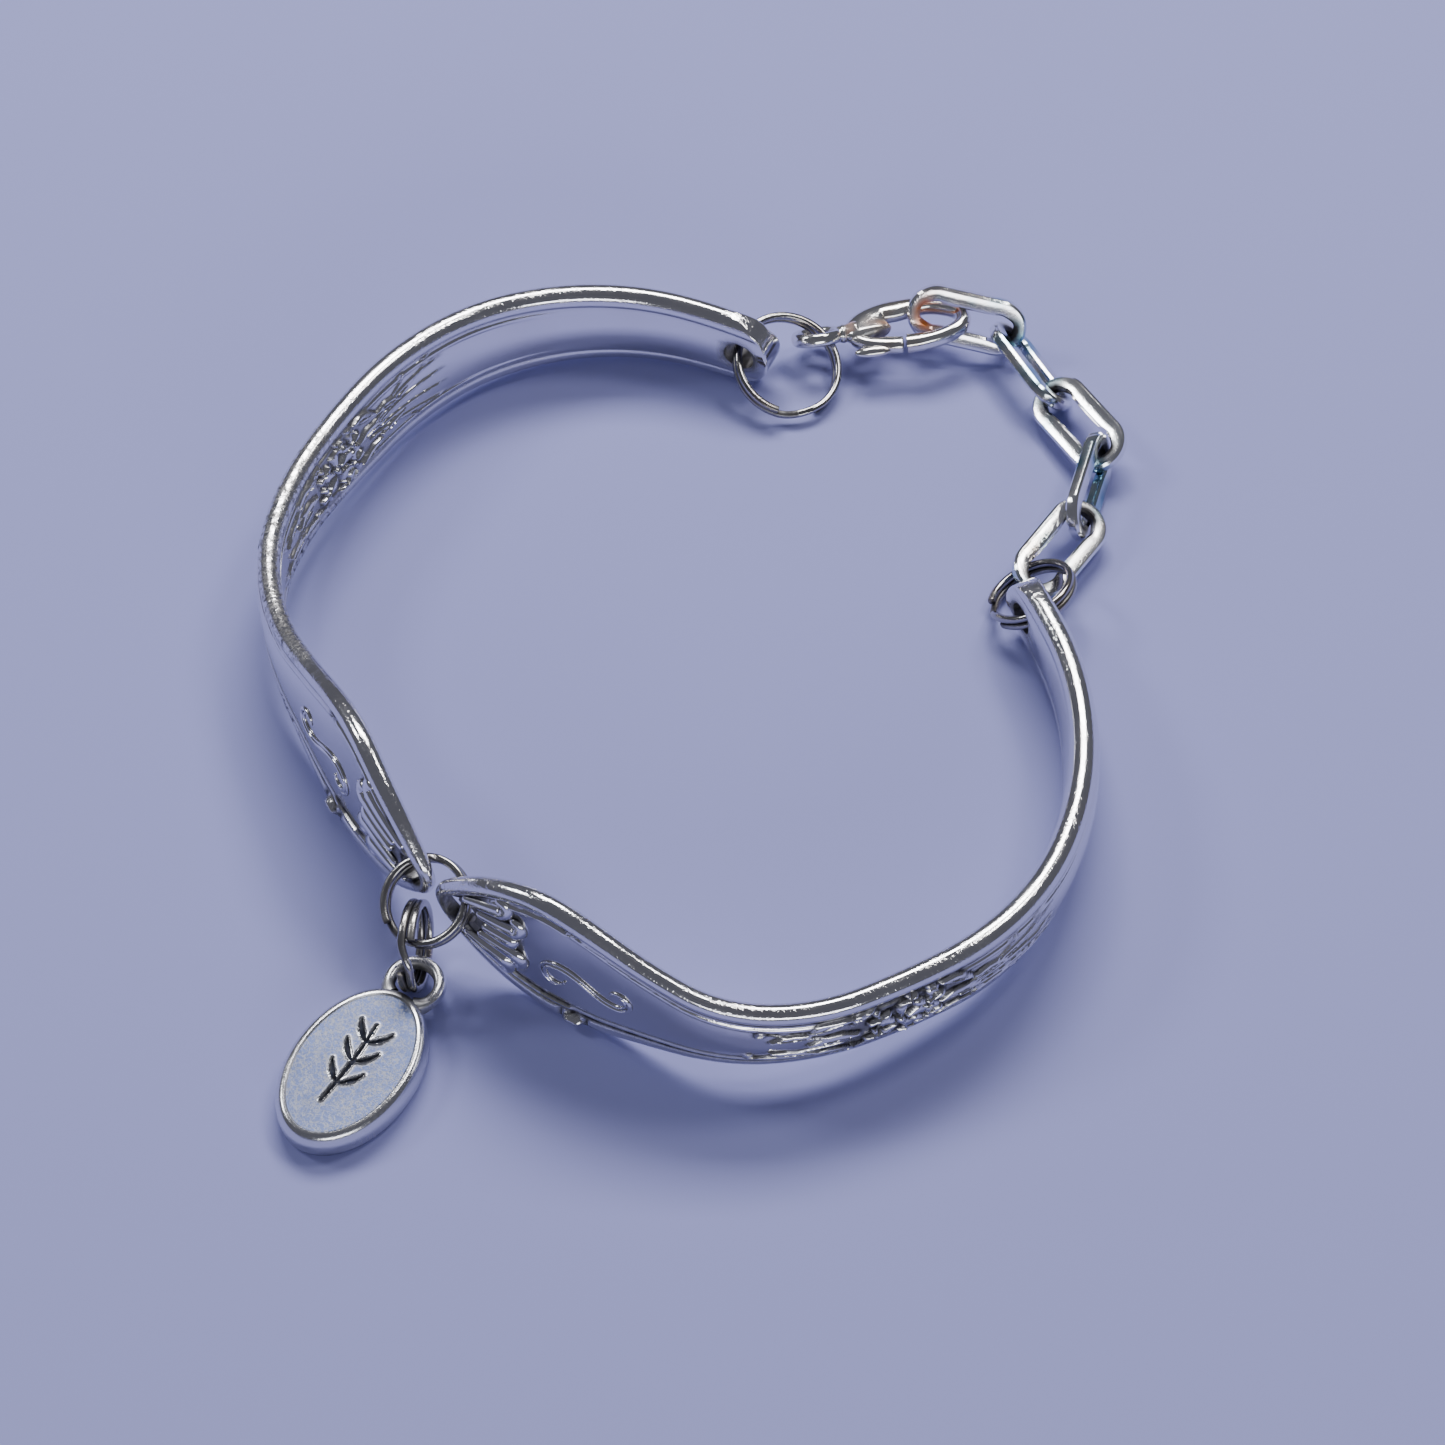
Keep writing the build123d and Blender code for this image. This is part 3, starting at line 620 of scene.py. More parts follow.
def handle_piece(name, node_name, form, material, fan_at, bud_at, scroll_at, flower_at, speckled_run):
    """One handle: a closed skin over its outline, with beads, relief and two drilled holes.

    Both faces stand off the middle surface by the bead's circle near the outline, by the
    crowned panel further in, and by the ornament on top; the cut end and the holes' rims are
    rounded.  The beads are worn in speckles over speckled_run.
    """
    end = form.length - END_TRIM
    radius = form.width(1.0) / 2
    # spans of the length, and the step between the sections in each
    dense = [
        (0, 0.7, 0.05), (0.7, bud_at + 1.6, 0.16), (scroll_at - 3.2, scroll_at + 3.4, 0.20),
        (flower_at - 10.5, flower_at + 10.5, 0.17), (end - radius, end - 0.5, 0.22),
        (end - 0.5, form.length, 0.035),
    ]
    along, across, inside = handle_grid(form, handle_rows(end, dense))
    half, border, panel, crown = (v[:, None] for v in form.section(along[:, 0] / form.length))
    ball = (panel**2 + border**2) / (2 * border)
    bead = np.sqrt(np.clip(ball**2 - (ball - np.minimum(inside, border)) ** 2, 0, None))
    crowned = (inside > border) * crown * hump_over(across, half, border)
    ending = ease((along - (end - radius)) / 0.9)
    to_end = radius - np.hypot(along - (end - radius), across)
    bevel = ending * END_BEVEL * (1 - quarter_round(to_end / END_BEVEL))
    places = (fan_at, bud_at, scroll_at, flower_at)
    raised, *patinas = cast_relief(form, along, across, inside, border, *places)
    raised = raised * ease(inside / 0.35) * (1 - ending)
    on_panel = ease((inside - border) / 0.25)
    first, last = speckled_run
    speckled = ease((along - first) / 3) * ease((last - along) / 3) * (1 - on_panel)
    worn = 0.25 + 0.75 * (1 - ease((inside - border) / 0.3))
    cut, rim = cut_holes(along, across, [TIP_HOLE, (form.length - END_HOLE[0], END_HOLE[1])])
    lip = HOLE_LIP[0] * (1 - quarter_round(rim / HOLE_LIP[1]))
    patinas = [np.maximum(side, 0.75 * bell(rim, 0, 0.42)).ravel() for side in patinas]
    origin, up, right = form.frame(np.minimum(along / form.length, 1.0).ravel())
    sides = []
    for outside in (True, False):
        depth = np.maximum(bead + crowned * (1.0 if outside else INNER_CROWN) - bevel, 0)
        depth = depth + raised - lip * (depth > 0.2)
        away = depth * (-form.side if outside else form.side)
        sides.append(origin + up * across.ravel()[:, None] + right * away.ravel()[:, None])
    skin = np.concatenate(sides)
    parts = [(skin, skin_faces(along.shape, cut), np.concatenate(patinas), np.tile(worn.ravel(), 2))]
    count = len(skin)
    for outside in (True, False):
        for line, width, tall in bold_lines(fan_at, scroll_at):
            bar, faces, foot = raised_bar(form, line, width, tall, outside)
            parts.append((bar, faces + count, foot, np.full(len(bar), 0.3)))
            count += len(bar)
    points, faces, patina, worn = (np.concatenate(column) for column in zip(*parts))
    speckled = np.concatenate([np.tile(speckled.ravel(), 2), np.zeros(count - len(skin))])
    values = {"patina": patina, "worn": worn, "speckled": speckled}
    build(name, points, faces, material, [node_name], values=values)


def node_surface(node):
    """Middle and area of each triangle of a solid, in millimetres."""
    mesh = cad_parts[node].data
    co = np.empty(len(mesh.vertices) * 3)
    mesh.vertices.foreach_get("co", co)
    mesh.calc_loop_triangles()
    corners = np.empty(len(mesh.loop_triangles) * 3, np.int32)
    mesh.loop_triangles.foreach_get("vertices", corners)
    tri = co.reshape(-1, 3)[corners.reshape(-1, 3)] / MM
    area = np.linalg.norm(np.cross(tri[:, 1] - tri[:, 0], tri[:, 2] - tri[:, 0]), axis=-1) / 2
    return tri.mean(1), area


def lie_of(node):
    """Middle of a flat solid, its long, short and normal directions, and its triangles' middles.

    The directions are those of the surface's greatest and least spread about its middle.
    """
    middles, area = node_surface(node)
    centre = (middles * area[:, None]).sum(0) / area.sum()
    spread = (middles - centre) * np.sqrt(area)[:, None]
    axes = np.linalg.svd(spread, full_matrices=False)[2]
    return centre, axes[0], np.cross(axes[2], axes[0]), axes[2], middles


def ring_lie(node):
    """A ring's middle, radius, the direction of its coil's step, and its normal.

    The middle is the least-squares circle's.  The coil has least wire at its step, so the
    step lies opposite to the surface's own middle.
    """
    centre, x, y, z, middles = lie_of(node)
    flat = np.stack([(middles - centre) @ x, (middles - centre) @ y], -1)
    system = np.column_stack([2 * flat, np.ones(len(flat))])
    found = np.linalg.lstsq(system, (flat**2).sum(1), rcond=None)[0]
    offset = x * found[0] + y * found[1]
    radius = np.sqrt(found[2] + found[0] ** 2 + found[1] ** 2)
    return centre + offset, radius, norm(offset), z


def lying(place, twist=0.0):
    """Origin, length, aside and normal of a lying piece, turned about its length by its roll."""
    x, y, z = place[:3]
    heading, rise, roll = np.radians(place[3:])
    roll = roll + radians(twist)
    along = np.array([np.cos(heading) * np.cos(rise), np.sin(heading) * np.cos(rise), np.sin(rise)])
    aside = np.array([-np.sin(heading), np.cos(heading), 0.0])
    normal = np.cross(along, aside) * np.cos(roll) + aside * np.sin(roll)
    return np.array([x - MIDDLE[0], y - MIDDLE[1], z]), along, np.cross(normal, along), normal


def tube(path, first, second, profile, closed=False):
    """A profile carried along a path: path + first * x + second * y for each profile point.

    A direction or a profile that stays the same along the path may be given once.
    """
    x, y = profile[..., 0, None], profile[..., 1, None]
    points = path[:, None, :] + first[..., None, :] * x + second[..., None, :] * y
    return points.reshape(-1, 3), quads(*points.shape[:2], True, closed)


def superellipse(width, height, power, count):
    """Closed profile |x/w|^p + |y/h|^p = 1, as count points."""
    t = np.arange(count) / count * 2 * np.pi
    c, s = np.cos(t), np.sin(t)
    x = np.sign(c) * np.abs(c) ** (2 / power) * width
    y = np.sign(s) * np.abs(s) ** (2 / power) * height
    return np.stack([x, y], -1)


def end_rounding(run, first, last):
    """Size of a bar's section near its two ends: a quarter circle's, from next to nothing to full."""
    return np.maximum(quarter_round(np.minimum((run - run[0]) / first, (run[-1] - run) / last)), 1e-4)


def inner_side(profile):
    """How far each point of a section faces the middle of its ring: the square of its share inward."""
    return np.clip(-profile[..., 0] / profile[..., 0].max(), 0, 1) ** 2


# Split rings: the wire's width and the gap between its turns, in millimetres, and half the step's
# angle, in degrees.
WIRE, WIRE_GAP, STEP = 0.56, 0.05, 22.0


def ring_piece(node, material):
    """A split ring: two turns of half-flat wire side by side, stepping across between their ends.

    The wire's section is a superellipse that rounds off at the two cut ends.
    """
    centre, radius, x, z = ring_lie(node)
    step = radians(STEP)
    angle = np.linspace(step, 4 * np.pi - step, 420)
    shift = (WIRE + WIRE_GAP) / 2 * (2 * ease((angle - 2 * np.pi + step) / (2 * step)) - 1)
    out = unit(angle) @ np.stack([x, np.cross(z, x)])
    path = centre + out * radius + z * shift[:, None]
    section = superellipse(1, 1, power=2.5, count=20)
    size = end_rounding(angle * radius, 0.14, 0.14)
    profile = section[None] * (WIRE / 2, WIRE / 2 * 1.02) * size[:, None, None]
    points, faces = tube(path, out, z, profile)
    # Painted shade: darker on the faces between the two turns of wire and near the cut ends, where the
    # turns step past each other.
    between = np.clip(-section[:, 1] * np.sign(shift)[:, None], 0, 1) ** 2
    mouth = bell(np.minimum(angle - angle[0], angle[-1] - angle), 0, 0.25)[:, None]
    values = {"patina": np.clip(between + 0.5 * mouth, 0, 1), "worn": 0.5}
    build(node + "_wire", points, faces, material, [node], values=values, weld=3e-8)


# Links, in millimetres.
LINK_LENGTH, LINK_WIDTH, LINK_THICKNESS = 9.2, 4.5, 0.95
LINK_BAND = (0.98, 1.36)        # the band's width at the ends and along the sides
LINK_BEVEL = 0.21


def bevelled(width, thick, bevel, soft=0.05):
    """Closed profile of a flat bar with bevelled corners, each edge softened by two points."""
    x, y = width / 2, thick / 2
    corner = [(x, y - bevel - soft), (x - 0.3 * soft, y - bevel + soft * 0.6),
              (x - bevel + soft * 0.6, y - 0.3 * soft), (x - bevel - soft, y)]
    right = corner + [(-a, b) for a, b in corner[::-1]]
    return np.array(right + [(-a, -b) for a, b in right])


def link_piece(node, material, stained):
    """A flat oval link: a bevelled band carried round two half circles and two straight runs.

    The outer edge keeps its line and the band is wider along the sides than at the ends.  stained
    is how deep the amber inside the end next to the clasp is.
    """
    centre, x, y, z, _ = lie_of(node)
    radius = LINK_WIDTH / 2
    straight = (LINK_LENGTH - LINK_WIDTH) / 2
    around = 2 * np.pi * radius + 4 * straight
    s = np.linspace(0, around, 240, endpoint=False)
    bend = np.pi * radius
    marks = np.cumsum([0, straight, bend, 2 * straight, bend, straight])
    turn = np.pi * np.interp(s, marks, [0.5, 0.5, -0.5, -0.5, -1.5, -1.5])
    cx = straight * np.interp(s, marks, [0, 1, 1, -1, -1, 0])
    flat = unit(turn)
    out = flat @ np.stack([x, y])
    along_side = ease(np.abs(flat[:, 1]) * 1.6 - 0.6) * (1 - 0.35 * (cx / straight) ** 4)
    band = LINK_BAND[0] + (LINK_BAND[1] - LINK_BAND[0]) * along_side
    path = centre + x * cx[:, None] + out * (radius - band / 2)[:, None]
    profile = np.stack([bevelled(width, LINK_THICKNESS, LINK_BEVEL) for width in band])
    points, faces = tube(path, out, z, profile, closed=True)
    at_end = np.clip(np.abs(flat[:, 0]) * 1.6 - 0.6, 0, 1)
    towards_clasp = norm(lying(CLASP_PLACE)[0] - centre)
    near_clasp = ease((path - centre) @ towards_clasp / LINK_LENGTH * 4 - 0.6)
    inward = ease(0.5 - 1.3 * profile[..., 0] / band[:, None])
    amber = stained * near_clasp[:, None] * np.clip(1.6 * inward, 0, 1)
    # Painted shade: the band's inner side is darkened at both ends, where the neighbouring link passes
    # through; amber is a real stain and takes its place.
    patina = at_end[:, None] * inward * (1 - amber)
    values = {"patina": patina, "worn": 0.5, "amber": amber}
    build(node + "_band", points, faces, material, [node], values=values, sharp=24)


# Clasp, in millimetres and degrees.  Its place is its eye's middle, its direction, rise and roll,
# and what lies along it is measured from the eye's middle.
CLASP_PLACE = (7.23, 33.98, 2.2, 4.5, 5.8, 5.2)
CLAW_MIDDLE = 6.9
CLAW_OUTER = (4.9, 2.6)         # half length and half width of the claw's outline
CLAW_INNER = (3.75, 1.42)       # and of its opening
CLAW_PALM = 5.7                 # the palm is solid up to here
CLAW_NARROWS = (0.42, 0.2)      # share of the opening's half width that is lost, beside claw and lever
NARROWS_FROM, NARROWS_OVER = 9.0, 3.0   # along the clasp, from the hook back to the palm
CLAW_SPAN = (211, -94)          # degrees round the outline, from the palm to the hook's tip
CLAW_THICK, PALM_THICKER = 1.36, 0.24
LEVER_SPAN = (-161, -95.4)
LEVER_THICK, LEVER_WIDE = 1.16, 1.3
EYE_RADIUS, EYE_TWIST = 1.6, 35.0
EYE_SECTION = (0.40, 0.52)      # half widths of its bar
NECK_SPAN = (1.35, 3.3)
NECK_RADIUS, NECK_SWELLS, NECK_COLLAR = 0.64, 0.24, 0.10        # radius, and what is added to it
KNOB_PLACE = (4.1, -2.28)       # along the clasp and aside
KNOB_SIZE = (1.45, 0.50, 0.42)  # half lengths along, aside and up


def claw_bar(name, angles, thick, material, reach, replaced, body, widest=np.inf):
    """A bar of the claw between its outline and its opening, over a span of the ellipse's angle.

    Each section runs from a point of the opening's ellipse, narrowed and cut off towards the palm,
    to the outline's point at the same angle, but is no wider than widest.  It is a superellipse as
    thick as thick says, and it rounds off over reach at the two ends.
    """
    origin, along, aside, normal = lying(CLASP_PLACE)
    t = np.radians(angles)
    outer = unit(t) * CLAW_OUTER + (CLAW_MIDDLE, 0)
    inner = unit(t) * CLAW_INNER + (CLAW_MIDDLE, 0)
    inner[:, 0] = np.maximum(inner[:, 0], CLAW_PALM - 0.5 * np.abs(np.sin(t)))
    lost = np.where(t > 0, *CLAW_NARROWS)
    inner[:, 1] *= 1 - lost * ease((NARROWS_FROM - inner[:, 0]) / NARROWS_OVER)
    across = outer - inner
    across = norm(across) * np.minimum(np.linalg.norm(across, axis=-1, keepdims=True), widest)
    middle = outer - across / 2
    half = np.linalg.norm(across, axis=-1) / 2
    run = run_of(middle)
    size = end_rounding(run, *reach)
    plane = np.stack([along, aside])
    section = superellipse(1, 1, power=2.3, count=28)
    profile = section[None] * np.stack([half * size, thick / 2 * size], -1)[:, None, :]
    points, faces = tube(origin + middle @ plane, norm(across) @ plane, normal, profile)
    inward = -section[:, 0]
    near_end = bell(run, run[-1], 0.12) + bell(run, run[0], 0.4)
    # Painted shade: darker on the side facing the opening and at both ends of the bar, where claw, lever
    # and palm meet; amber is a rust stain near the palm.
    patina = np.clip(0.35 * np.clip(inward, 0, 1) ** 3 + 0.6 * near_end[:, None], 0, 1)
    amber = 0.55 * bell(angles, 176, 16.0)[:, None] * np.clip(0.35 + 1.2 * inward, 0, 1)
    values = {"patina": patina, "worn": 0.4, "amber": amber}
    build(name, points, faces, material, replaced, body=body, values=values)


def clasp_neck(material):
    """The neck between the eye and the palm: a waisted bar of revolution with a low collar."""
    origin, along, aside, normal = lying(CLASP_PLACE)
    x = np.linspace(*NECK_SPAN, 40)
    radius = NECK_RADIUS + NECK_SWELLS * ease((x - 1.9) / 1.2) + NECK_COLLAR * bell(x, 1.95, 0.16)
    circle = superellipse(1, 1, power=2.0, count=28)
    profile = circle[None] * (radius * end_rounding(x, 0.3, 0.3))[:, None, None]
    points, faces = tube(origin + along * x[:, None], aside, normal, profile)
    dark = 0.72 * bell(x, 2.25, 0.18) + 0.4 * bell(x, 1.65, 0.14)
    stain = 0.6 * bell(x, 2.6, 0.35)
    values = {"patina": np.repeat(dark, len(circle)), "worn": 0.4, "amber": np.repeat(stain, len(circle))}
    build("clasp_neck", points, faces, material, values=values)


def clasp_eye(material):
    """The eye: a superellipse carried round a circle that is twisted about the clasp's length."""
    eye, first, second, across = lying(CLASP_PLACE, EYE_TWIST)
    t = np.linspace(0, 2 * np.pi, 96, endpoint=False)
    out = unit(t) @ np.stack([first, second])
    section = superellipse(*EYE_SECTION, power=2.4, count=22)
    points, faces = tube(eye + out * EYE_RADIUS, out, across, section, closed=True)
    # Painted shade on the eye's inner side, where the ring passes through.
    values = {"patina": np.tile(0.4 * inner_side(section), len(t)), "worn": 0.4}
    build("clasp_eye", points, faces, material, values=values)


def thumb_knob(material):
    """The knob on the lever: an ellipsoid that lies along the clasp."""
    origin, along, aside, normal = lying(CLASP_PLACE)
    u = np.linspace(0, np.pi, 29)[:, None]
    v = np.linspace(0, 2 * np.pi, 40, endpoint=False)
    ball = np.stack([np.cos(u) + 0 * v, np.sin(u) * np.cos(v), np.sin(u) * np.sin(v)], -1)
    middle = origin + along * KNOB_PLACE[0] + aside * KNOB_PLACE[1]
    points = middle + (ball * KNOB_SIZE) @ np.stack([along, aside, normal])
    faces = quads(len(u), len(v), True)
    values = {"patina": 0.0, "worn": 0.5}
    build("clasp_thumb_knob", points, faces, material, body=LEVER, values=values)


def clasp_pieces(material):
    """The claw with its palm and hook, the neck, the eye, and the lever with its thumb knob."""
    angles = np.linspace(*CLAW_SPAN, 190)
    thick = CLAW_THICK + PALM_THICKER * ease((angles - 95) / 50) + 0.04 * np.cos(np.radians(angles))
    claw_bar("clasp_claw", angles, thick, material, (0.55, 0.12), ["clasp_body"], BODY)
    clasp_neck(material)
    clasp_eye(material)
    angles = np.linspace(*LEVER_SPAN, 70)
    thick = np.full(len(angles), LEVER_THICK)
    claw_bar("clasp_lever_arm", angles, thick, material, (0.42, 0.12), ["clasp_lever"], LEVER, LEVER_WIDE)
    thumb_knob(material)


# Charm, in millimetres and degrees.
CHARM_LENGTH, CHARM_WIDTH, CHARM_THICKNESS = 12.9, 8.7, 2.3
CHARM_DIRECTION = 59.0          # from the charm's middle to its loop
CHARM_LOOP = (-20.83, -22.34, 1.4)
CHARM_LOOP_RADIUS = 1.75
CHARM_LOOP_SECTION = (0.43, 0.52)       # half widths of its bar
CHARM_LOOP_SPAN = 148.0         # to each side of its far end
CHARM_REACH = 7.45              # from the charm's middle to the loop's
CHARM_RIM = 0.66                # from the outline to the crest of the rim
CHARM_FACE = CHARM_RIM + 0.16   # from the outline to the flat face
FACE_SUNK = 0.12                # how much lower than the rim the face lies
RIM_DROP = 1.15                 # from the rim's crest down its round side
SPRIG_DEPTH, SPRIG_EDGE = 0.2, 0.09


def sprig_relief(x, y):
    """How far each point of the face is in the sunk sprig, and how near it is to its raised edge."""
    stem = quadratic((-3.3, 0.15), (0, -0.2), (3.2, 0.1), 20)
    strokes = [(stem, (0.12, 0.16, 0.07))]
    for at in (-1.7, 0.1, 1.8):
        for way in (-1, 1):
            leaf = quadratic((at, 0.0), (at + 0.4, way * 0.8), (at + 1.35, way * 1.25), 10)
            strokes.append((leaf, (0.08, 0.22, 0.06)))
    sunk, edge = (np.max(layer, 0) for layer in zip(*(stroke(x, y, *one, 1.0) for one in strokes)))
    sunk = np.minimum(sunk * 1.6, 1.0)
    return sunk, edge * (1 - sunk)


def charm_piece(material):
    """The oval charm: a flat face inside a polished rim that rounds down to the sides.

    Rows run from the face's middle out to the rim, down the side and back under it; each row is
    the ellipse drawn in by the row's inset, at the row's height.  The face's rows are shares of
    the ellipse just inside the rim, and the sprig is sunk in them.
    """
    away = np.array([*unit(radians(CHARM_DIRECTION)), 0.0])
    aside = np.array([-away[1], away[0], 0.0])
    loop = np.array([CHARM_LOOP[0] - MIDDLE[0], CHARM_LOOP[1] - MIDDLE[1], CHARM_LOOP[2]])
    foot = (loop - away * CHARM_REACH) * (1, 1, 0)
    half_length, half_width = CHARM_LENGTH / 2, CHARM_WIDTH / 2
    rim_t = np.linspace(0, np.pi, 12)[1:]
    side_t = np.linspace(0, np.pi / 2, 14)[1:]
    inset = np.concatenate([
        CHARM_RIM + 0.10 + 0.06 * np.cos(rim_t), CHARM_RIM * (1 - np.sin(side_t)), [0.0, 0.05, 0.2, 0.5],
    ])
    height = np.concatenate([
        CHARM_THICKNESS - FACE_SUNK + 0.06 * (1 - np.cos(rim_t)),
        CHARM_THICKNESS - RIM_DROP * (1 - np.cos(side_t)), [0.55, 0.25, 0.06, 0.0],
    ])
    theta = np.linspace(0, 2 * np.pi, 256, endpoint=False)
    share = np.linspace(0, 1, 76)[:, None]
    face_x = (half_length - CHARM_FACE) * share * np.cos(theta)
    face_y = (half_width - CHARM_FACE) * share * np.sin(theta)
    sunk, edge = sprig_relief(face_x, face_y)
    face_z = CHARM_THICKNESS - FACE_SUNK - SPRIG_DEPTH * sunk + SPRIG_EDGE * edge
    side_x = (half_length - inset)[:, None] * np.cos(theta)
    side_y = (half_width - inset)[:, None] * np.sin(theta)
    side_z = np.repeat(height[:, None], len(theta), 1)
    face, side = np.stack([face_x, face_y, face_z], -1), np.stack([side_x, side_y, side_z], -1)
    local = np.concatenate([face, side])
    points = foot + local @ np.array([away, aside, (0, 0, 1)])
    rim_foot = 0.45 * bell(inset, CHARM_FACE - 0.02, 0.07)[:, None]
    # Painted shade on the side wall where the loop meets the body.
    loop_root_shade = 0.9 * bell(np.hypot(side_x - half_length, side_y), 0, 1.3)
    patina = np.concatenate([0.85 * sunk, np.maximum(rim_foot, loop_root_shade)])
    # The frosted face, where the painted blue reflection also goes, except by the sprig's raised edge.
    frost_and_reflection = np.concatenate([1 - np.clip(2.5 * edge, 0, 1), np.zeros_like(side_x)])
    # the underside closes on its middle
    last = np.arange(patina.size - len(theta), patina.size)
    under = np.stack([last, np.roll(last, -1), np.full(len(theta), patina.size)], -1)
    values = {"patina": np.append(patina, 0.0), "frost_and_reflection": np.append(frost_and_reflection, 0.0),
              "worn": np.append(0.3 + 0.7 * (frost_and_reflection > 0), 0.3)}
    build("charm_body", np.append(points.reshape(-1, 3), [foot], 0), quads(*patina.shape, True), material,
          ["charm"], values=values, caps=under.tolist())
    charm_loop(material, loop, away, aside)


def charm_loop(material, loop, away, aside):
    """The loop: a flattened bar round a circle, thicker at the two ends that meet the body."""
    turn = np.radians(np.linspace(-CHARM_LOOP_SPAN, CHARM_LOOP_SPAN, 90))
    out = unit(turn) @ np.stack([away, aside])
    swell = 1 + 0.35 * ease((np.abs(turn) - 1.9) / 0.7)
    section = superellipse(*CHARM_LOOP_SECTION, power=2.6, count=22)
    up = np.array([0.0, 0.0, 1.0])
    points, faces = tube(loop + out * CHARM_LOOP_RADIUS, out, up, section * swell[:, None, None])
    # Painted shade on the loop's inner side, where the ring passes, and at its roots where it meets the
    # body.
    root_shade = ease((np.abs(turn) - 1.6) / 0.8)[:, None]
    patina = np.clip(0.8 * inner_side(section) + 0.5 * root_shade, 0, 1)
    values = {"patina": patina, "frost_and_reflection": 0.0, "worn": 0.25}
    build("charm_loop", points, faces, material, values=values)


def group(name, inputs, outputs):
    """An empty node group with named inputs (name, kind, default) and outputs (name, kind)."""
    tree = bpy.data.node_groups.new(name, "ShaderNodeTree")
    for label, kind, default in inputs:
        socket = tree.interface.new_socket(label, in_out="INPUT", socket_type=kind)
        if default is not None:
            socket.default_value = default
    for label, kind in outputs:
        tree.interface.new_socket(label, in_out="OUTPUT", socket_type=kind)
    return tree, tree.nodes.new("NodeGroupInput"), tree.nodes.new("NodeGroupOutput")


def node(tree, kind, inputs=None, **settings):
    """A node with its settings and inputs; an input given as a socket is linked."""
    made = tree.nodes.new(kind)
    for key, value in settings.items():
        setattr(made, key, value)
    for key, value in (inputs or {}).items():
        if isinstance(value, bpy.types.NodeSocket):
            tree.links.new(value, made.inputs[key])
        else:
            made.inputs[key].default_value = value
    return made


def calc(tree, operation, first, second=0.0, clamp=False):
    """The result of a Math node, kept between 0 and 1 if clamp is set."""
    made = node(tree, "ShaderNodeMath", {0: first, 1: second}, operation=operation, use_clamp=clamp)
    return made.outputs[0]


def times(tree, first, second, clamp=False):
    """first * second."""
    return calc(tree, "MULTIPLY", first, second, clamp)


def plus(tree, first, second, clamp=False):
    """first + second."""
    return calc(tree, "ADD", first, second, clamp)


def less(tree, first, second, clamp=False):
    """first - second."""
    return calc(tree, "SUBTRACT", first, second, clamp)


def mix_colour(tree, factor, first, second, blend="MIX"):
    """The first colour where the factor is 0, and the two blended where it is 1."""
    made = node(tree, "ShaderNodeMix", {0: factor, 6: first, 7: second}, data_type="RGBA", blend_type=blend)
    return made.outputs[2]


def noise(tree, vector, scale, detail=3.0, roughness=0.55):
    """Cloudy noise between 0 and 1."""
    inputs = {"Vector": vector, "Scale": scale, "Detail": detail, "Roughness": roughness}
    return node(tree, "ShaderNodeTexNoise", inputs).outputs[0]


def kept_value(tree, name):
    """The value that the mesh keeps under a name."""
    return node(tree, "ShaderNodeAttribute", attribute_name=name).outputs["Fac"]


VECTOR, FLOAT, COLOUR = "NodeSocketVector", "NodeSocketFloat", "NodeSocketColor"
# Scratches: the turn, scale and half width of each direction's lines.
SCRATCHES = [
    ((0.3, 0.9, 0.5), 900.0, 0.024), ((1.1, 0.2, 1.9), 700.0, 0.018), ((0.6, 1.7, 2.8), 1100.0, 0.026),
]
COOL_SHIFT = (0.031, 0.017, 0.043)      # from the warm stains' pattern to the cool ones'
# Painted reflection: the lilac blue that the charm's frosted face is multiplied by, standing in for the
# floor it mirrors.
PAINTED_REFLECTION_BLUE = (0.15, 0.19, 0.36, 1)
AMBER = (0.62, 0.17, 0.02, 1)


def scratches_group():
    """Fine straight scratches: thin bands of noise stretched along three directions."""
    inputs = [("Vector", VECTOR, None), ("Amount", FLOAT, 0.5), ("Patchiness", FLOAT, 1.0),
              ("Fineness", FLOAT, 1.0)]
    tree, into, out = group("fine_scratches", inputs, [("Lines", FLOAT), ("Height", FLOAT)])
    vector, amount, patchiness, fineness = (into.outputs[k] for k in range(4))
    total = None
    for turn, scale, width in SCRATCHES:
        inputs = {"Vector": vector, "Rotation": turn, "Scale": (1.0, 1.0, 0.07)}
        placed = node(tree, "ShaderNodeMapping", inputs).outputs[0]
        value = noise(tree, placed, times(tree, fineness, scale), 2.0, 0.6)
        away = calc(tree, "ABSOLUTE", less(tree, value, 0.5))
        line = less(tree, 1.0, calc(tree, "DIVIDE", away, width), True)
        total = line if total is None else calc(tree, "MAXIMUM", total, line)
    bare = less(tree, 1.7, times(tree, noise(tree, vector, 160.0, 2.0), 2.4), True)
    spread = times(tree, total, less(tree, 1.0, times(tree, bare, patchiness), True))
    tree.links.new(times(tree, spread, amount, True), out.inputs["Lines"])
    tree.links.new(times(tree, spread, -1.0), out.inputs["Height"])
    return tree


def patina_group():
    """Dark patina and painted shade where the mask is high, broken up by noise, over the clean metal."""
    inputs = [("Vector", VECTOR, None), ("Mask", FLOAT, 0.0), ("Clean", COLOUR, None),
              ("Dark", COLOUR, None), ("Spread", FLOAT, 1.0), ("Gloss", FLOAT, 0.1)]
    outputs = [("Color", COLOUR), ("Roughness", FLOAT), ("Metallic", FLOAT)]
    tree, into, out = group("dark_patina", inputs, outputs)
    vector, level, clean, dark, spread, gloss = (into.outputs[k] for k in range(6))
    broken = plus(tree, times(tree, noise(tree, vector, 1500.0, 4.0), 0.9), 0.55)
    mask = times(tree, times(tree, level, broken), spread, True)
    haze = times(tree, less(tree, noise(tree, vector, 220.0, 3.0), 0.45, True), 0.30)
    rough = plus(tree, plus(tree, gloss, haze), times(tree, mask, 0.35), True)
    tree.links.new(mix_colour(tree, mask, clean, dark), out.inputs["Color"])
    tree.links.new(rough, out.inputs["Roughness"])
    tree.links.new(less(tree, 1.0, times(tree, mask, 0.35)), out.inputs["Metallic"])
    return tree


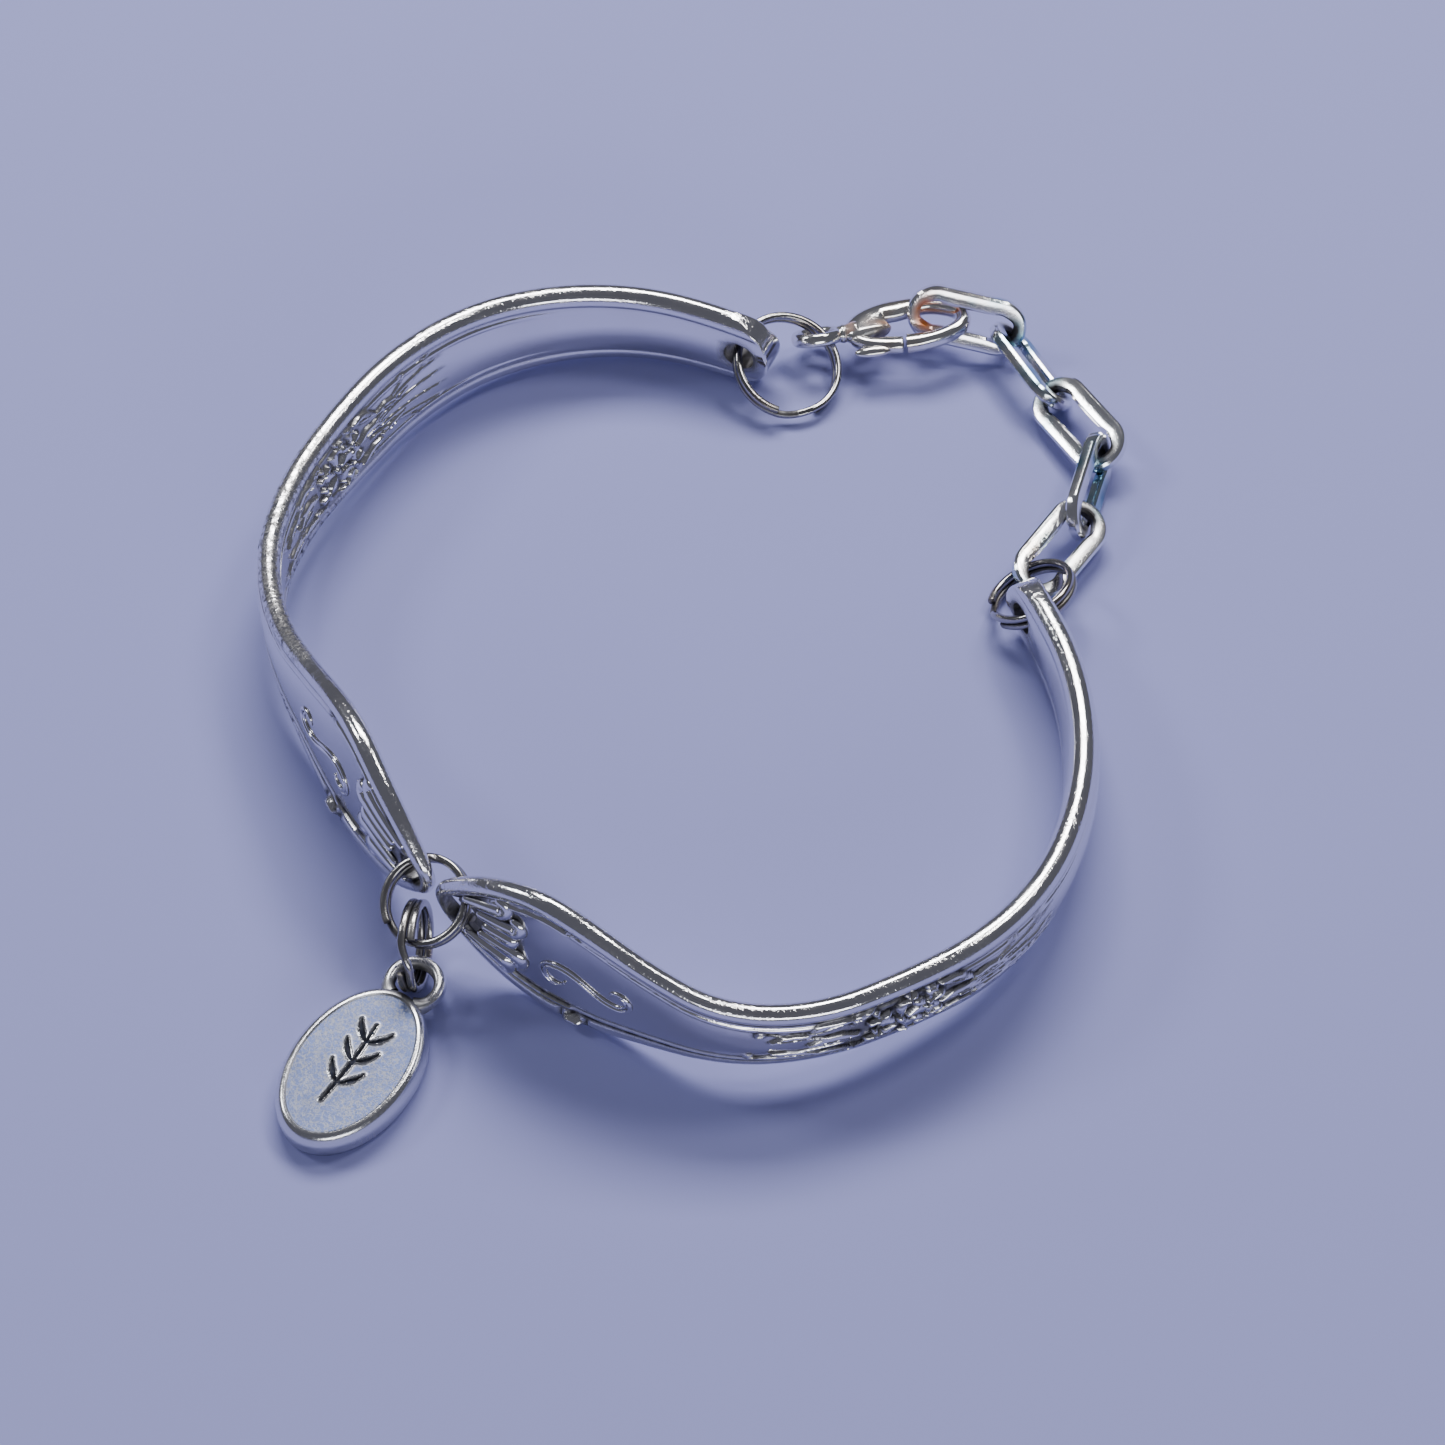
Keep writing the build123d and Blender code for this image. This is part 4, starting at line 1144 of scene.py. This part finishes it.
def tarnish_group():
    """Faint stains: two tints laid over the metal in soft patches of their own."""
    inputs = [("Vector", VECTOR, None), ("Color", COLOUR, None), ("Warm", COLOUR, None),
              ("Cool", COLOUR, None), ("Warmth", FLOAT, 0.3), ("Coolness", FLOAT, 0.3),
              ("Scale", FLOAT, 120.0)]
    tree, into, out = group("tarnish", inputs, [("Color", COLOUR)])
    vector, colour, warm, cool, warmth, coolness, scale = (into.outputs[k] for k in range(7))
    moved = node(tree, "ShaderNodeVectorMath", {0: vector, 1: COOL_SHIFT}, operation="ADD").outputs[0]
    for place, bare, tint, amount in ((vector, 0.52, warm, warmth), (moved, 0.50, cool, coolness)):
        patches = times(tree, less(tree, noise(tree, place, scale, 2.0), bare, True), 5.0, True)
        colour = mix_colour(tree, times(tree, patches, amount), colour, tint)
    tree.links.new(colour, out.inputs["Color"])
    return tree


def place_group(tree, shared, **inputs):
    """A shared group with its inputs set; an input given as a socket is linked."""
    return node(tree, "ShaderNodeGroup", inputs, node_tree=shared)


def metal(name, clean, gloss, scratch, spread=1.0, warm=(0.55, 0.42, 0.28), cool=(0.45, 0.55, 0.62),
          warmth=0.0, coolness=0.0, scale=120.0, frost_and_reflection=False, amber=False, speckled=False):
    """Polished metal with patina and painted shade from the mesh, stains, fine scratches and a faint
    ripple.

    frosted, amber and speckled say which further values of the mesh the metal shows: a dull
    grained face with a painted lilac blue reflection, brown stains, and wear in small dark grains.
    """
    dark = bpy.context.scene.bracelet_finish.patina
    material = bpy.data.materials.new(name)
    material.use_nodes = True
    tree = material.node_tree
    shader = tree.nodes["Principled BSDF"]
    vector = tree.nodes.new("ShaderNodeTexCoord").outputs["Object"]
    mask = kept_value(tree, "patina")
    if speckled:
        grains = times(tree, less(tree, noise(tree, vector, 2400.0, 4.0, 0.75), 0.45), 6.0, True)
        grains = times(tree, grains, times(tree, kept_value(tree, "speckled"), 0.9))
        mask = calc(tree, "MAXIMUM", mask, grains)
    stained = place_group(tree, GROUPS["tarnish"], Vector=vector, Color=(*clean, 1), Warm=(*warm, 1),
                          Cool=(*cool, 1), Warmth=warmth, Coolness=coolness, Scale=scale)
    aged = place_group(tree, GROUPS["patina"], Vector=vector, Mask=mask, Clean=stained.outputs["Color"],
                       Dark=(*dark, 1), Spread=spread, Gloss=gloss)
    lines = place_group(tree, GROUPS["scratches"], Vector=vector, Amount=scratch,
                        Patchiness=0.5 if frost_and_reflection else 1.0, Fineness=1.9 if frost_and_reflection else 1.0)
    colour, metallic = aged.outputs["Color"], aged.outputs["Metallic"]
    worn = kept_value(tree, "worn")
    seen = times(tree, lines.outputs["Lines"], worn)
    rough = plus(tree, aged.outputs["Roughness"], times(tree, seen, 0.45), True)
    height = times(tree, lines.outputs["Height"], worn)
    if frost_and_reflection:
        face = kept_value(tree, "frost_and_reflection")
        rough = plus(tree, rough, times(tree, face, 0.30), True)
        grain = times(tree, noise(tree, vector, 5200.0, 3.0, 0.7), times(tree, face, 2.2))
        height = plus(tree, height, grain)
        # Painted reflection: the frosted face is multiplied by a lilac blue, except along the scratches.
        reflection_tinted = times(tree, face, less(tree, 1.0, lines.outputs["Lines"], True))
        colour = mix_colour(tree, reflection_tinted, colour, PAINTED_REFLECTION_BLUE, "MULTIPLY")
    ripple = times(tree, noise(tree, vector, 230.0, 2.0), 2.0)
    inputs = {"Height": plus(tree, height, ripple), "Strength": 0.22, "Distance": 0.04 * MM}
    bump = node(tree, "ShaderNodeBump", inputs)
    if amber:
        spots = plus(tree, noise(tree, vector, 900.0, 3.0), 0.35, True)
        stain = times(tree, kept_value(tree, "amber"), spots)
        colour = mix_colour(tree, stain, colour, AMBER)
        metallic = times(tree, metallic, less(tree, 1.0, times(tree, stain, 0.7)))
    tree.links.new(colour, shader.inputs["Base Color"])
    tree.links.new(metallic, shader.inputs["Metallic"])
    tree.links.new(rough, shader.inputs["Roughness"])
    tree.links.new(bump.outputs[0], shader.inputs["Normal"])
    return material


GROUPS = {}
METALS = {}
# Finishes of the small pieces: each metal's own values.
FINISHES = {
    "ring": dict(name="ring_wire", clean=(0.40, 0.39, 0.385), gloss=0.14, scratch=0.4,
                 warm=(0.42, 0.30, 0.20), warmth=0.35, scale=400.0),
    "charm": dict(name="charm_pewter", clean=(0.72, 0.72, 0.74), gloss=0.16, scratch=0.9, frost_and_reflection=True),
    "link": dict(name="link_plate", clean=(0.86, 0.86, 0.87), gloss=0.10, scratch=0.3, spread=1.2,
                 warm=(0.60, 0.38, 0.18), warmth=0.25, cool=(0.16, 0.40, 0.50), coolness=0.9,
                 scale=260.0, amber=True),
    "clasp": dict(name="clasp_plate", clean=(0.80, 0.79, 0.77), gloss=0.10, scratch=0.3, spread=0.8,
                  warm=(0.60, 0.38, 0.15), warmth=0.5, scale=330.0, amber=True),
}


def prepare_metals():
    """Builds the shared groups once, then each finish with its own values."""
    if METALS:
        return METALS
    finish = bpy.context.scene.bracelet_finish
    GROUPS.update(scratches=scratches_group(), patina=patina_group(), tarnish=tarnish_group())
    METALS["handle"] = metal("silver_plate", finish.silver, finish.gloss, 0.35, warmth=0.10, coolness=0.12,
                             speckled=True)
    for kind, values in FINISHES.items():
        METALS[kind] = metal(**values)
    return METALS


LEFT = HandleForm(tip=(-19.42, -17.93), heading=129.0, length=80.7, bend=LEFT_BEND, side=1)
RIGHT = HandleForm(tip=(-19.15, -18.17), heading=-33.1, length=75.1, bend=RIGHT_BEND, side=-1)
# Where each handle's ornament lies and where its bead is worn, in millimetres from its tip.
LEFT_PLACES = dict(fan_at=8.3, bud_at=12.9, scroll_at=14.4, flower_at=41.3, speckled_run=(17.0, 43.0))
RIGHT_PLACES = dict(fan_at=7.0, bud_at=11.1, scroll_at=12.3, flower_at=33.9, speckled_run=(0.0, 0.0))


class BRACELET_OT_handles(bpy.types.Operator):
    """Both spoon handles with their cast ornament"""

    bl_idname = "bracelet.handles"
    bl_label = "Handles"

    def execute(self, context):
        material = prepare_metals()["handle"]
        handle_piece("left_handle_cast", "handle_left", LEFT, material, **LEFT_PLACES)
        handle_piece("right_handle_cast", "handle_right", RIGHT, material, **RIGHT_PLACES)
        return {"FINISHED"}


class BRACELET_OT_rings(bpy.types.Operator):
    """The four split rings"""

    bl_idname = "bracelet.rings"
    bl_label = "Split rings"

    def execute(self, context):
        material = prepare_metals()["ring"]
        for name in ("tip_ring", "charm_ring", "clasp_ring", "chain_ring"):
            ring_piece(name, material)
        return {"FINISHED"}


class BRACELET_OT_charm(bpy.types.Operator):
    """The oval charm and its loop"""

    bl_idname = "bracelet.charm"
    bl_label = "Charm"

    def execute(self, context):
        charm_piece(prepare_metals()["charm"])
        return {"FINISHED"}


class BRACELET_OT_clasp(bpy.types.Operator):
    """The lobster clasp and its lever"""

    bl_idname = "bracelet.clasp"
    bl_label = "Clasp"

    def execute(self, context):
        clasp_pieces(prepare_metals()["clasp"])
        return {"FINISHED"}


class BRACELET_OT_links(bpy.types.Operator):
    """The five flat links, the first of them with an amber stain"""

    bl_idname = "bracelet.links"
    bl_label = "Links"

    def execute(self, context):
        material = prepare_metals()["link"]
        for number in range(1, 6):
            link_piece(f"link_{number}", material, stained=1.0 if number == 1 else 0.0)
        return {"FINISHED"}


def area_light(name, place, target, size, power, colour):
    """A soft rectangular light at a place in metres, facing its target."""
    data = bpy.data.lights.new(name, "AREA")
    data.shape, data.size, data.size_y = "RECTANGLE", size[0], size[1]
    data.energy, data.color = power, colour
    lamp = bpy.data.objects.new(name, data)
    bpy.context.scene.collection.objects.link(lamp)
    lamp.location = place
    lamp.rotation_mode = "QUATERNION"
    way = Vector(target) - Vector(place)
    lamp.rotation_quaternion = way.to_track_quat("-Z", "Y")


# Name, place and target in metres, width and height, power in watts, colour.
LAMPS = [
    ("window", (0.01, 0.34, 0.46), (0, 0.01, 0), (0.34, 0.17), 3.4, (1.0, 0.99, 0.985)),
    ("left_lamp", (-0.42, 0.17, 0.40), (0.02, 0.02, 0), (0.12, 0.12), 0.8, (0.96, 0.98, 1.0)),
    ("right_lamp", (0.25, 0.15, 0.50), (0.02, 0.01, 0), (0.12, 0.12), 0.8, (1.0, 0.98, 0.96)),
    ("front_lamp", (0.10, -0.46, 0.16), (0, 0, 0), (0.34, 0.10), 0.7, (0.93, 0.95, 1.0)),
]
SKY = ((0.42, 0.43, 0.52, 1), 0.26)     # colour and strength
CAMERA_PLACE = (0.0, -141.8, 210.2)     # in the drawing's millimetres
CAMERA_DOWN, CAMERA_LENS = 56, 88.4     # degrees below the level, focal length
FLOOR_REACH, FLOOR_BELOW = 0.8, 0.0001  # metres


class BRACELET_OT_stage(bpy.types.Operator):
    """Pale floor, studio light and camera"""

    bl_idname = "bracelet.stage"
    bl_label = "Stage"

    def execute(self, context):
        scene = context.scene
        camera = bpy.data.cameras.new("camera")
        camera.sensor_width, camera.lens = 36.0, CAMERA_LENS
        camera.clip_start, camera.clip_end = 0.01, 10.0
        eye = bpy.data.objects.new("camera", camera)
        scene.collection.objects.link(eye)
        eye.location = (np.array(CAMERA_PLACE) - (*MIDDLE, 0)) * MM
        eye.rotation_euler = (radians(90 - CAMERA_DOWN), 0, 0)
        scene.camera = eye

        mesh = bpy.data.meshes.new("floor")
        corners = [(x * FLOOR_REACH, y * FLOOR_REACH, 0) for x, y in ((-1, -1), (1, -1), (1, 1), (-1, 1))]
        mesh.from_pydata(corners, [], [(0, 1, 2, 3)])
        floor = bpy.data.objects.new("floor", mesh)
        scene.collection.objects.link(floor)
        floor.location = (0, 0, -FLOOR_BELOW)
        plain = bpy.data.materials.new("floor")
        plain.use_nodes = True
        shader = plain.node_tree.nodes["Principled BSDF"]
        shader.inputs["Base Color"].default_value = (*scene.bracelet_finish.floor, 1)
        shader.inputs["Roughness"].default_value = 0.95
        mesh.materials.append(plain)

        scene.world = bpy.data.worlds.new("studio")
        scene.world.use_nodes = True
        sky = scene.world.node_tree.nodes["Background"]
        sky.inputs["Color"].default_value, sky.inputs["Strength"].default_value = SKY
        for lamp in LAMPS:
            area_light(*lamp)
        return {"FINISHED"}


class BRACELET_PT_panel(bpy.types.Panel):
    """Settings of the bracelet, and a button for the stage and for each group of pieces"""

    bl_label = "Spoon Handle Bracelet"
    bl_idname = "BRACELET_PT_panel"
    bl_space_type = "VIEW_3D"
    bl_region_type = "UI"
    bl_category = "Bracelet"

    def draw(self, context):
        for settings in (context.scene.bracelet_finish, context.scene.bracelet_relief):
            for name in settings.__annotations__:
                self.layout.prop(settings, name)
        for operator in OPERATORS:
            self.layout.operator(operator.bl_idname)


OPERATORS = (
    BRACELET_OT_stage, BRACELET_OT_handles, BRACELET_OT_rings, BRACELET_OT_charm, BRACELET_OT_clasp,
    BRACELET_OT_links,
)
CLASSES = (BraceletFinish, BraceletRelief, *OPERATORS, BRACELET_PT_panel)


def register():
    for cls in CLASSES:
        bpy.utils.register_class(cls)
    bpy.types.Scene.bracelet_finish = PointerProperty(type=BraceletFinish)
    bpy.types.Scene.bracelet_relief = PointerProperty(type=BraceletRelief)


def unregister():
    del bpy.types.Scene.bracelet_finish
    del bpy.types.Scene.bracelet_relief
    for cls in reversed(CLASSES):
        bpy.utils.unregister_class(cls)


def main():
    """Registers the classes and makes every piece."""
    register()
    bpy.ops.bracelet.stage()
    bpy.ops.bracelet.handles()
    bpy.ops.bracelet.rings()
    bpy.ops.bracelet.charm()
    bpy.ops.bracelet.clasp()
    bpy.ops.bracelet.links()
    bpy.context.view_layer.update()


if __name__ == "__main__":
    main()
